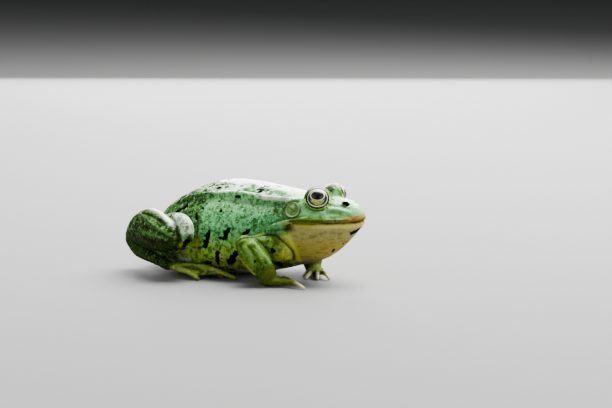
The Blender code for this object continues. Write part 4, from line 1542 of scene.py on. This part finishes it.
@dataclass
class Pattern:
    """The colouring of the frog, zone by zone."""

    hide: Hide
    painter: Painter
    throat_edge: tuple[tuple[float, float], ...] = (  # height and x, upwards
        (6.0, -23.6), (9.3, -21.8), (11.7, -21.4), (13.6, -20.6), (17.2, -20.5),
        (18.2, -21.3), (19.2, -22.0), (20.2, -22.8), (21.4, -23.8),
    )
    chest_edge: tuple[Point, ...] = (
        (-21.9, 13.3, 17.1), (-21.1, 12.7, 15.4), (-20.4, 11.2, 12.5), (-20.3, 8.8, 9.4),
        (-21.6, 5.4, 6.7),
    )
    groin: Point = (-55.6, 20.5, 11.5)
    groin_flash: tuple[Point, ...] = (
        (-62.7, 21.1, 9.3), (-62.0, 19.0, 8.8), (-60.8, 17.4, 8.6), (-58.7, 17.8, 8.8),
    )
    belly_edge: tuple[Point, ...] = ((-66.1, 14.3, 5.9), (-62.4, 15.5, 5.7), (-59.1, 16.0, 5.4))
    # painted shade: the dark lines in the grooves of folds and wrinkles, along the arm's contour
    # and fold, in the hollows, the knee groove and the mouth; painted highlights: the pale lines on
    # the snout crease, the forearm's ridges and the shank crest
    lines: tuple[tuple[str, Tint, float, float], ...] = (  # stroke, pigment, width, strength
        ("under_fold", Tint.HEAD_DARK, 0.9, 0.5), ("ear_groove", Tint.HEAD_DARK, 0.55, 0.9),
        ("cheek_fold", Tint.TENDON, 0.75, 0.8), ("cheek_groove", Tint.HEAD_DARK, 0.7, 0.9),
        ("cheek_crease", Tint.HEAD_DARK, 0.5, 0.8), ("neck_wrinkle", Tint.HEAD_DARK, 0.6, 0.5),
        ("snout_crease", Tint.MINT, 0.6, 0.75), ("snout_hollow", Tint.HEAD_DARK, 0.8, 0.35),
        ("arm_contour", Tint.BLACK, 0.50, 0.97), ("arm_fold", Tint.BLACK, 0.42, 0.85),
        ("forearm_ridge", Tint.ARM_PALE, 0.65, 0.75), ("forearm_hollow", Tint.ARM_DARK, 0.6, 0.85),
        ("forearm_side", Tint.ARM_PALE, 0.45, 0.65), ("forearm_rear", Tint.YELLOW, 0.5, 0.85),
        ("elbow_wrinkle", Tint.ARM_DARK, 0.4, 0.6), ("groin", Tint.BLACK, 0.5, 0.9),
        ("flank_wrinkle", Tint.RUMP, 0.5, 0.4), ("shoulder_wrinkle", Tint.RUMP, 0.5, 0.4),
        ("shank_shadow", Tint.CREASE, 0.8, 0.6), ("shank_hollow", Tint.LEG_DARK, 0.7, 0.8),
        ("shank_groove", Tint.CREASE, 0.55, 0.9), ("shank_tendon", Tint.TENDON, 0.42, 0.85),
        ("shank_line", Tint.TENDON, 0.5, 0.6), ("shank_crest", Tint.CREST_PALE_AND_HIGHLIGHT, 0.85, 0.95),
        ("knee_groove", Tint.LEG_DARK, 0.6, 0.95), ("tarsus_edge", Tint.LEG, 0.5, 0.7),
        ("mouth", Tint.MOUTH, 0.62, 1.0), ("mouth_corner", Tint.MOUTH, 0.5, 0.8),
    )
    speck_count: int = 120
    speck_width: tuple[float, float] = (0.22, 0.46)
    speck_length: tuple[float, float] = (0.2, 0.8)
    dry_film: float = 0.05
    wet_film: float = 0.74

    def paint(self) -> None:
        """Lays all zones in order."""
        self.body()
        self.head()
        self.throat()
        for arm in self.hide.arms:
            self.arm(arm)
        for leg in self.hide.legs:
            self.leg(leg)
            self.foot(leg)
        self.folds()
        for side in Side:
            self.eardrum(side)
            self.nostril(side)
        for side in Side:
            self.eyelids(side)
        for mark in self.hide.marks():
            self.painter.mark(mark)
        self.specks()
        self.water()

    def body(self) -> None:
        """Flanks, back, rump and belly."""
        painter = self.painter
        x, y, z = painter.points.T
        cloud = wander(painter.points, 5.0, 4.0)
        fine = wander(painter.points, 1.7, 5.0)
        painter.texture(0.85, 0.55)
        painter.layers((
            (Tint.FLANK, 1.0),
            (Tint.FLANK_TOP, ease(z + cloud, 22.0, 26.0)),
            (Tint.RUMP, 0.45 * ease(cloud + 0.6 * fine, 0.15, 0.5) * ease(z, 29.0, 25.0)),
            (Tint.FLANK_LOW, ease(z + 2.5 * cloud, 18.5, 10.5)),
            # darker towards the foot of the flank: its own olive with painted under-body shade
            (Tint.FLANK_FOOT, ease(z + 2.0 * cloud, 10.5, 5.5) * 0.85),
            (Tint.BELLY, ease(z, 4.5, 2.0) * ease(painter.normals[:, 2], -0.2, -0.6)),
        ))
        # the back, between its folds, pale and whitened further as painted glare, with a green band
        # beside each fold
        rows = np.array(self.hide.strokes["back_fold"].path)
        past = np.abs(y) - np.interp(x, rows[::-1, 0], rows[::-1, 1])
        inside = ease(past, -0.1, -0.9) * ease(z, 22.0, 25.0) * ease(x, -20.0, -24.0)
        painter.wash(Tint.BACK, inside)
        painter.texture(0.18, 0.5, inside)
        band = inside * window(past, -7.5, -5.0, -1.4, -0.6) * ease(x, -46.0, -40.0)
        painter.wash(Tint.BACK_GREEN, band * ease(cloud + fine, -0.2, 0.2) * 0.75)
        painter.scatter(Tint.BACK_GREEN, band, 260, (0.5, 1.2), 0.9, 1)
        painter.scatter(Tint.RUMP, inside, 260, (0.25, 0.7), 0.75, 2)
        # the rump
        rump = ease(x + 9.0 * cloud + 4.0 * fine, -51.0, -60.0) * ease(z, 10.0, 16.0)
        painter.wash(Tint.RUMP, rump * 0.95)
        painter.texture(0.9, 0.55, rump)
        painter.scatter(Tint.FLANK, rump, 160, (0.3, 0.8), 0.8, 3)
        painter.scatter(Tint.LEG_DARK, rump, 150, (0.4, 1.1), 0.85, 4)
        # painted glints: pale beads on the top of the rump
        painter.scatter(Tint.RIDGE_PALE_AND_GLINT, rump * ease(z, 20.0, 24.0), 45, (0.3, 0.6), 0.95, 10)
        # the flanks and their foot
        flank = window(x, -60.0, -55.0, -30.0, -26.0) * window(z, 6.0, 10.0, 26.0, 29.0)
        foot = window(x, -58.0, -54.0, -34.0, -30.0) * window(z, 2.5, 4.5, 10.0, 15.0)
        painter.scatter(Tint.RUMP, flank, 420, (0.2, 0.7), 0.65, 5)
        painter.scatter(Tint.YELLOW, foot, 110, (0.5, 1.5), 0.7, 18)
        painter.scatter(Tint.MINT, flank * ease(z, 12.0, 17.0), 480, (0.2, 0.6), 0.7, 6)

    def head(self) -> None:
        """Face and upper lip."""
        painter = self.painter
        x, y, z = painter.points.T
        across = np.abs(y)
        cloud = wander(painter.points, (2.6, 2.6, 0.7), 8.0)
        front = ease(x, -27.0, -21.0)
        crown = front * ease(z, 27.0, 28.6) * ease(across, 7.0, 3.5) * ease(x, -11.0, -16.0)
        bridge = ease(z, 25.0, 26.8) * ease(across, 2.4, 0.4) * ease(x, -14.0, -10.0)
        neck = window(x, -31.0, -26.0, -23.5, -19.5) * ease(z, 21.5, 25.0) * ease(across, 8.5, 11.0)
        painter.texture(0.22, 0.2, front)
        painter.layers((
            (Tint.HEAD, front),
            # painted glare: the crown and the snout's bridge washed pale
            (Tint.BACK, crown * 0.4),
            (Tint.BACK, bridge * 0.7),
            (Tint.HEAD_DARK, neck * 0.6),
            (Tint.LIP_BAND, ease(z + 0.8 * cloud, 24.4, 23.0) * ease(x, -24.0, -20.0)),
            (Tint.LIP_FRONT, ease(x + cloud, -5.0, -0.8) * ease(z, 25.0, 23.2) * 0.8),
            (Tint.LIP_FRONT, ease(x, -11.0, -4.0) * ease(z, 23.0, 22.3) * 0.5),
        ))

    def throat(self) -> None:
        """Lower lip, jaw, throat and chest."""
        painter = self.painter
        x, _, z = painter.points.T
        cloud = wander(painter.points, (2.6, 2.6, 0.7), 8.0)
        levels, edges = zip(*self.throat_edge)
        past = x - np.interp(z, levels, edges)
        chest = ease(past, 0.6, -0.6) * ease(x, -33.0, -28.0) * ease(z, 18.4, 16.6)
        painter.layers(((Tint.LIP_BAND, 0.8), (Tint.CHEST, ease(x, -26.0, -22.5) * 0.7)), chest)
        jaw = ease(z, 21.8, 21.3) * ease(past + 0.6 * cloud, -0.6, 0.6)
        painter.texture(0.12, 0.05, jaw)
        painter.layers((
            (Tint.LOWER_LIP, 1.0),
            (Tint.LIP_REAR, ease(x, -9.0, -15.0) * 0.7),
            (Tint.JAW, ease(z, 20.5, 19.2)),
            (Tint.THROAT, ease(z + cloud, 17.5, 13.5)),
            (Tint.THROAT_LOW, ease(z + cloud, 9.5, 6.0)),
            (Tint.THROAT_STREAK, ease(cloud, 0.1, 0.45) * ease(z, 20.0, 18.0) * 0.6),
        ), jaw)
        painter.scatter(Tint.THROAT_STREAK, jaw * ease(z, 19.5, 17.5), 90, (0.3, 0.8), 0.4, 7)
        painter.line(Tint.CHEST, self.chest_edge, 0.9, 0.8)
        # painted shade behind each corner of the mouth
        for side in Side:
            corner = side.of((-21.2, 13.4, 19.8))
            painter.wash(Tint.CORNER, 0.9 * ball(painter.points, corner, (3.0, 3.0, 2.6), 0.8))

    def arm(self, arm: Forelimb) -> None:
        """Upper arm, forearm and hand."""
        painter, points = self.painter, self.painter.points
        cloud = wander(points, 2.2, 6.0)
        upper, fore = arm.bones()
        over, share, _ = upper.fit(points)
        mine = ease(over, 0.9, -0.1) * ease(share, 0.12, 0.42)
        painter.layers(((Tint.ARM, 1.0), (Tint.ARM_DARK, ease(cloud, -0.1, 0.35) * 0.8)), mine)
        painter.texture(0.7, 0.25, mine)
        over, share, _ = fore.fit(points)
        mine = ease(over, 1.0, 0.1)
        painter.layers((
            (Tint.ARM, 1.0),
            (Tint.ARM_PALE, ease(cloud, -0.1, 0.35) * ease(share, 0.75, 0.35) * 0.2),
            (Tint.ARM_DARK, ease(share, 0.45, 0.9) * 0.8),
            (Tint.ARM_DARK, ease(cloud, -0.1, -0.4) * 0.6),
        ), mine)
        painter.texture(0.5, 0.15, mine)
        under = ball(points, arm.side.of((-24.4, 13.0, 9.0)), (3.6, 4.6, 3.6), 0.8)
        painter.wash(Tint.YELLOW, under * 0.6)
        wrist, palm, *fingers = arm.hand()
        for muscle in (wrist, palm):
            mine = ease(muscle.fit(points)[0], 0.8, 0.0)
            painter.wash(Tint.HAND, mine)
            painter.texture(0.3, 0.05, mine)
        for muscle in fingers:
            over, share, _ = muscle.fit(points)
            painter.layers(((Tint.HAND, 1.0), (Tint.FINGER, ease(share, 0.35, 0.85))),
                           ease(over, 0.6, 0.0))

    def leg(self, leg: Hindlimb) -> None:
        """Thigh, knee and shank."""
        painter, points = self.painter, self.painter.points
        cloud, fine = wander(points, 2.4, 7.0), wander(points, 0.9, 16.0)
        thigh, shank, _ = leg.bones()
        over_thigh, share, turn = thigh.fit(points)
        mine = ease(over_thigh, 1.1, 0.1) * ease(share, 0.25, 0.5)
        inner = ease(turn, -0.4, -0.8) * ease(np.abs(points[:, 1]), 19.0, 15.0)
        painter.layers(((Tint.LEG, 1.0), (Tint.BELLY, inner)), mine)
        painter.texture(0.9, 0.6, mine)
        knee = mine * ease(share + 0.10 * cloud + 0.05 * fine, 0.76, 0.86)
        knee_turn = turn + 0.2 * cloud + 0.12 * fine

        over, _, turn = shank.fit(points)
        knee *= ease(over_thigh - over, 0.5, -0.1)
        mine = ease(over, 1.3, 0.3)
        painter.layers((
            (Tint.LEG, 1.0),
            (Tint.LEG_PALE, ease(cloud, 0.1, 0.4) * ease(turn, 0.0, 0.4) * 0.5),
            # painted shade: the underside of the shank darkened
            (Tint.LEG_DARK, ease(turn, 0.05, -0.45) * 0.55),
            (Tint.LEG_DARK, ease(cloud, -0.05, -0.35) * 0.7),
        ), mine)
        painter.texture(0.9, 0.5, mine)
        painter.texture(0.8, 0.15, mine * ease(turn, 0.0, -0.3))
        painter.scatter(Tint.LEG_DARK, mine, 130, (0.3, 0.9), 0.7, 8)
        painter.scatter(Tint.LEG_PALE, mine * ease(turn, -0.3, 0.1), 160, (0.25, 0.6), 0.7, 9)
        # the knee patch: pale skin, with a painted highlight on its upper side
        painter.layers((
            (Tint.LEG_PALE, ease(knee_turn, -0.9, -0.6)),
            (Tint.KNEE_LOW, ease(knee_turn, -0.4, 0.1) * 0.9),
            (Tint.KNEE, ease(knee_turn, 0.42, 0.80) * 0.97),
        ), knee)
        painter.texture(0.6, 0.3, knee * ease(knee_turn, 0.8, 0.5))
        painter.scatter(Tint.LEG_DARK, knee, 40, (0.15, 0.35), 0.85, 14, least=1e-9)
        below = ball(points, leg.side.of((-56.0, 24.6, 12.2)), (3.6, 3.2, 2.6), 0.6)
        painter.wash(Tint.YELLOW, below * 0.8)

    def foot(self, leg: Hindlimb) -> None:
        """Tarsus, toes and webs."""
        painter, points = self.painter, self.painter.points
        cloud = wander(points, 2.4, 7.0)
        mine = ease(leg.bones()[-1].fit(points)[0], 0.9, 0.0)
        patches = ease(cloud, 0.0, 0.35) * 0.8
        painter.layers(((Tint.LEG, 1.0), (Tint.LEG_DARK, 0.6), (Tint.LEG, patches)), mine)
        painter.texture(0.8, 0.3, mine)
        for toe in leg.digits():
            over, share, turn = toe.fit(points)
            mine = ease(over, 0.6, 0.0) * ease(share, 0.05, 0.2)
            painter.layers((
                (Tint.TOE, 1.0),
                (Tint.TOE_UNDER, ease(turn, -0.1, -0.6) * 0.7),
                (Tint.TOE_UNDER, ease(share, 0.85, 0.97) * 0.6),
            ), mine)
            painter.texture(0.4, 0.2, mine)
        # painted shade: the webs between the toes darkened
        for (one, _), (two, _) in zip(leg.toes, leg.toes[1:]):
            web = ball(points, tuple(leg.at(one).lerp(leg.at(two), 0.5)), (6.0, 1.3, 1.8), 0.6)
            painter.wash(Tint.LEG_DARK, web * 0.8)

    def folds(self) -> None:
        """Ridges, folds and wrinkles, with painted shade in their grooves and painted highlights on
        some crests, and the bright groin.
        """
        painter, strokes = self.painter, self.hide.strokes
        # the back fold's crest: pale, with a painted highlight
        painter.line(Tint.RIDGE_PALE_AND_GLINT, strokes["back_fold"].path[:7], 0.55, 0.95)
        for name, tint, width, strength in self.lines:
            painter.line(tint, strokes[name].path, width, strength)
        for side in Side:
            groin = ball(painter.points, side.of(self.groin), (3.2, 5.5, 5.0), 0.7)
            painter.wash(Tint.YELLOW, groin * 0.75)
        both_groins = ball(np.abs(painter.points) * (-1, 1, 1), self.groin, (4.0, 6.0, 6.0))
        painter.scatter(Tint.LEG_DARK, both_groins, 40, (0.4, 0.9), 0.9, 11)
        painter.line(Tint.YELLOW, self.groin_flash, 0.9, 0.85)
        painter.line(Tint.BELLY, self.belly_edge, 1.3, 0.9)

    def eardrum(self, side: Side) -> None:
        """The dish of an eardrum, its rim and the dark line about it."""
        painter = self.painter
        near = self.hide.drum_reach(painter.points, side)
        dish = ease(near, 0.95, 0.8)
        painter.texture(0.6, 0.2, dish)
        painter.layers((
            (Tint.HEAD_DARK, 0.8 * bell(near, 1.22, 0.14)),
            (Tint.DRUM, ease(near, 1.0, 0.85)),
            (Tint.DRUM_RING, 0.6 * bell(near, 0.84, 0.12)),
            (Tint.LID_PALE, 0.5 * bell(near, 1.05, 0.08)),
            (Tint.DRUM_RING, 0.35 * dish * ease(wander(painter.points, 0.8, 13.0), 0.0, 0.3)),
            (Tint.LID, 0.9 * bell(near, 0.0, 0.42)),
        ))

    def nostril(self, side: Side) -> None:
        """The opening of a nostril, painted black as the shade in its hollow, and the painted shade
        under it.
        """
        x, y, z = self.hide.nostril[1]
        for tint, spot, radii in (
                (Tint.HEAD_DARK, (x - 0.2, y + 0.6, z - 0.5), (1.9, 1.6, 1.5)),
                (Tint.NOSTRIL, (x - 0.3, y + 0.7, z - 0.6), (1.0, 0.9, 0.7)),
                (Tint.BLACK, (x, y, z), (1.2, 0.8, 0.7))):
            self.painter.wash(tint, ball(self.painter.points, side.of(spot), radii))
        above = tuple((front, out - 0.1, level + 0.1) for front, out, level in self.hide.nostril)
        self.painter.mark(Mark(above, 0.6, (side,)))

    def eyelids(self, side: Side) -> None:
        """The lids about one eye, from the brow to the rim of the opening."""
        painter = self.painter
        _, local, distance = EYE.about(painter.points, side)
        reach = np.hypot(local[:, 0], local[:, 1] * 1.18)
        oval = self.hide.lids.oval(local)
        front = (local[:, 2] > -1.0) & (distance < 8.0)
        painter.texture(0.1, 0.1, front * ease(reach, 6.0, 5.2))
        painter.layers((
            (Tint.LID, ease(reach, 5.5, 5.0)),
            (Tint.HEAD_DARK, 0.85 * bell(reach, 5.35, 0.30)),
            (Tint.LID_PALE, 0.6 * bell(oval, 1.21, 0.035)),
            (Tint.HEAD_DARK, 0.8 * bell(oval, 1.32, 0.045)),
            # painted shade on the inner rim of the lids' opening
            (Tint.LID_GAP_SHADE, 0.95 * ease(oval, 1.19, 1.14)),
        ), front)
        shade = ball(painter.points, side.of((-14.9, 2.7, 31.3)), (3.4, 3.0, 3.0))
        painter.wash(Tint.HEAD_DARK, 0.9 * shade)
        painter.scatter(Tint.LEG_DARK, shade, 30, (0.2, 0.4), 0.8, 15 + side.value, least=1e-9)
        corner = ball(local, (4.5, 0.2, 0.4), (0.8, 0.9, 1.6), 0.7)
        painter.wash(Tint.CREAM, corner * front * 0.9)

    def specks(self) -> None:
        """Small black specks on the back, drawn out along the body."""
        draw = np.random.default_rng(SEED + 20)
        points = self.painter.points
        x, _, z = points.T
        where = ease(self.painter.normals[:, 2], 0.6, 0.9) * ease(z, 24.0, 27.0) \
            * ease(x, -24.0, -30.0) * (0.35 + 0.65 * ease(x, -44.0, -52.0))
        chosen = draw.choice(len(points), self.speck_count, replace=False, p=where / where.sum())
        widths = draw.uniform(*self.speck_width, self.speck_count)
        for (front, out, level), width in zip(points[chosen], widths):
            length = draw.uniform(*self.speck_length)
            path = tuple((front + way * length, abs(out), level) for way in (-1, 1))
            self.painter.mark(Mark(path, width, (Side.LEFT if out > 0 else Side.RIGHT,)))

    def water(self) -> None:
        """A film of water on what faces upwards, and a trace of it elsewhere."""
        painter, points = self.painter, self.painter.points
        x, y, z = points.T
        up = painter.normals[:, 2]
        beads = wander(points, 0.9, 12.0)
        patchy = x + 5.0 * wander(points, 3.0, 14.0)
        body = ease(up, 0.50, 0.88) * ease(z, 12.0, 18.0) * ease(x, -14.0, -20.0)
        body *= 1.0 - ease(patchy, -53.0, -61.0) * (1.0 - 0.8 * ease(beads, 0.15, 0.35))
        body *= 1.0 - 0.75 * ease(np.abs(y), 14.0, 17.0) * ease(x, -50.0, -56.0)
        body *= 0.2 + 0.8 * ease(painter.colour[:, 1], 0.12, 0.45)
        head = ease(up, 0.62, 0.90) * ease(z, 24.6, 26.0) * ease(x, -20.0, -14.0)
        brows = ball(np.abs(points) * (-1, 1, 1), EYE.centre, (5.8, 5.8, 5.8), 0.1) \
            * ease(up, 0.45, 0.75) * ease(z, 30.0, 31.5)
        film = np.maximum.reduce([body, head, brows])
        front, out, level = self.hide.nostril[1]
        for side in Side:
            crest = [side.of(spot) for spot in self.hide.strokes["shank_crest"].path]
            found, away, share = painter.clay.near(crest, 2.0)
            ridge = bell(away, 0.0, 0.9) * window(share, 0.0, 0.15, 0.9, 1.0)
            film[found] = np.maximum(film[found], ridge)
            knee = ball(points, side.of((-57.0, 25.6, 17.5)), (5.2, 4.6, 5.2), 0.3)
            film = np.maximum(film, knee * ease(up, 0.25, 0.7))
            film *= 1.0 - ball(points, side.of((front, out + 0.5, level - 0.4)), (2.2, 2.0, 1.9))
        painter.wet = self.dry_film + (self.wet_film - self.dry_film) * film


@dataclass
class Eyeball:
    """One eyeball, a little fuller over the pupil."""

    side: Side
    finish: EyeFinish = field(default_factory=EyeFinish)
    segments: int = 72
    rings: int = 48
    cornea: float = 0.16  # how far the cornea stands proud
    cornea_spread: float = 2.4

    @property
    def node(self) -> str:
        """The CAD node that it stands for."""
        return f"{self.side.prefix}_eye"

    def build(self) -> bpy.types.Mesh:
        """The eyeball with its gaze layer, in the maker's millimetres."""
        bm = bmesh.new()
        place = Matrix.Translation(self.side.of(EYE.centre)) @ EYE.axes(self.side).to_4x4()
        bmesh.ops.create_uvsphere(bm, u_segments=self.segments, v_segments=self.rings,
                                  radius=EYE.radius)
        layer = bm.verts.layers.float_vector.new(self.finish.layer)
        for vert in bm.verts:
            if vert.co.z > 0:
                spread = math.hypot(vert.co.x, vert.co.y) / self.cornea_spread
                vert.co *= 1.0 + self.cornea / EYE.radius * math.exp(-spread ** 2)
            vert[layer] = vert.co
        bmesh.ops.transform(bm, matrix=place, verts=bm.verts)
        if place.determinant() < 0:
            bmesh.ops.recalc_face_normals(bm, faces=bm.faces)
        mesh = as_mesh(bm, self.node)
        mesh.shade_smooth()
        return mesh


@dataclass
class Studio:
    """A pale floor, soft lights and the camera."""

    target: Point = (-16.68, -9.53, 27.70)
    azimuth: float = 31.0
    elevation: float = 8.0
    distance: float = 780.0
    lens: float = 135.0
    clip: tuple[float, float] = (0.01, 20.0)  # metres
    floor_half: float = 3.0  # metres
    middle: Point = (0.0, 0.0, 0.018)  # of the animal, in metres
    surround: Colour = (0.86, 0.90, 0.92, 1.0)
    surround_strength: float = 0.12
    finish: FloorFinish = field(default_factory=FloorFinish)
    lights: tuple[tuple[str, Point, float, float], ...] = (
        # name, place about the middle of the animal, side and power
        ("over_and_behind", (0.10, 0.42, 0.55), 0.60, 38.0),
        ("low_and_behind", (-0.36, 0.62, 0.25), 0.50, 21.0),
        ("overhead", (-0.10, 0.18, 0.77), 0.40, 15.0),
        ("side_fill", (-0.45, -0.72, 0.28), 0.90, 4.8),
        ("front_fill", (0.75, -0.12, 0.14), 0.60, 3.6),
    )

    def floor(self) -> None:
        """Lays the floor."""
        bm = bmesh.new()
        bmesh.ops.create_grid(bm, x_segments=2, y_segments=2, size=self.floor_half)
        floor = linked("floor", as_mesh(bm, "floor"))
        floor.data.materials.append(self.finish.build())

    def light(self) -> None:
        """Hangs the soft lights and sets an even surround."""
        for name, place, size, power in self.lights:
            lamp = bpy.data.lights.new(name, "AREA")
            lamp.shape = "SQUARE"
            lamp.size = size
            lamp.energy = power
            holder = linked(name, lamp)
            holder.location = Vector(self.middle) + Vector(place)
            holder.rotation_euler = Vector(place).to_track_quat("Z", "Y").to_euler()
        world = bpy.data.worlds.new("even_surround")
        world.use_nodes = True
        surround = world.node_tree.nodes["Background"].inputs
        surround["Color"].default_value = self.surround
        surround["Strength"].default_value = self.surround_strength
        bpy.context.scene.world = world

    def camera(self, bench: Bench) -> None:
        """Sets the camera."""
        turn, rise = math.radians(self.azimuth), math.radians(self.elevation)
        away = Vector((math.sin(turn) * math.cos(rise), -math.cos(turn) * math.cos(rise),
                       math.sin(rise)))
        eye = bpy.data.cameras.new("studio_camera")
        eye.lens = self.lens
        eye.clip_start, eye.clip_end = self.clip
        holder = linked("studio_camera", eye)
        holder.location = bench.place(self.target) + away * self.distance * MM
        holder.rotation_euler = away.to_track_quat("Z", "Y").to_euler()
        bpy.context.scene.camera = holder


def main() -> None:
    """Builds, paints and places every piece."""
    logging.basicConfig(level=logging.INFO, format="%(name)s: %(message)s")
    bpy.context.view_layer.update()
    bench = Bench()
    studio = Studio()
    studio.floor()
    studio.light()
    studio.camera(bench)

    hide = Hide()
    clay = hide.shape()
    painter = Painter(clay)
    Pattern(hide, painter).paint()
    painter.lay(clay.mesh, hide.finish)
    clay.mesh.materials.clear()
    clay.mesh.materials.append(hide.finish.build())
    clay.mesh.shade_smooth()
    skin = bench.show(clay.mesh, "frog_skin")
    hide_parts(*hide.torso.nodes, *(node for limb in (*hide.arms, *hide.legs)
                                           for node in limb.nodes))
    triangles = sum(len(face.vertices) - 2 for face in clay.mesh.polygons)
    LOG.info("%s: %d points, %d triangles", skin.name, len(clay.mesh.vertices), triangles)

    glossy = EyeFinish().build()
    for side in Side:
        eyeball = Eyeball(side)
        mesh = eyeball.build()
        mesh.materials.append(glossy)
        piece = bench.show(mesh, f"{side.prefix}_eyeball")
        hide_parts(eyeball.node)
        LOG.info("%s: %d points", piece.name, len(mesh.vertices))


if __name__ == "__main__":
    main()
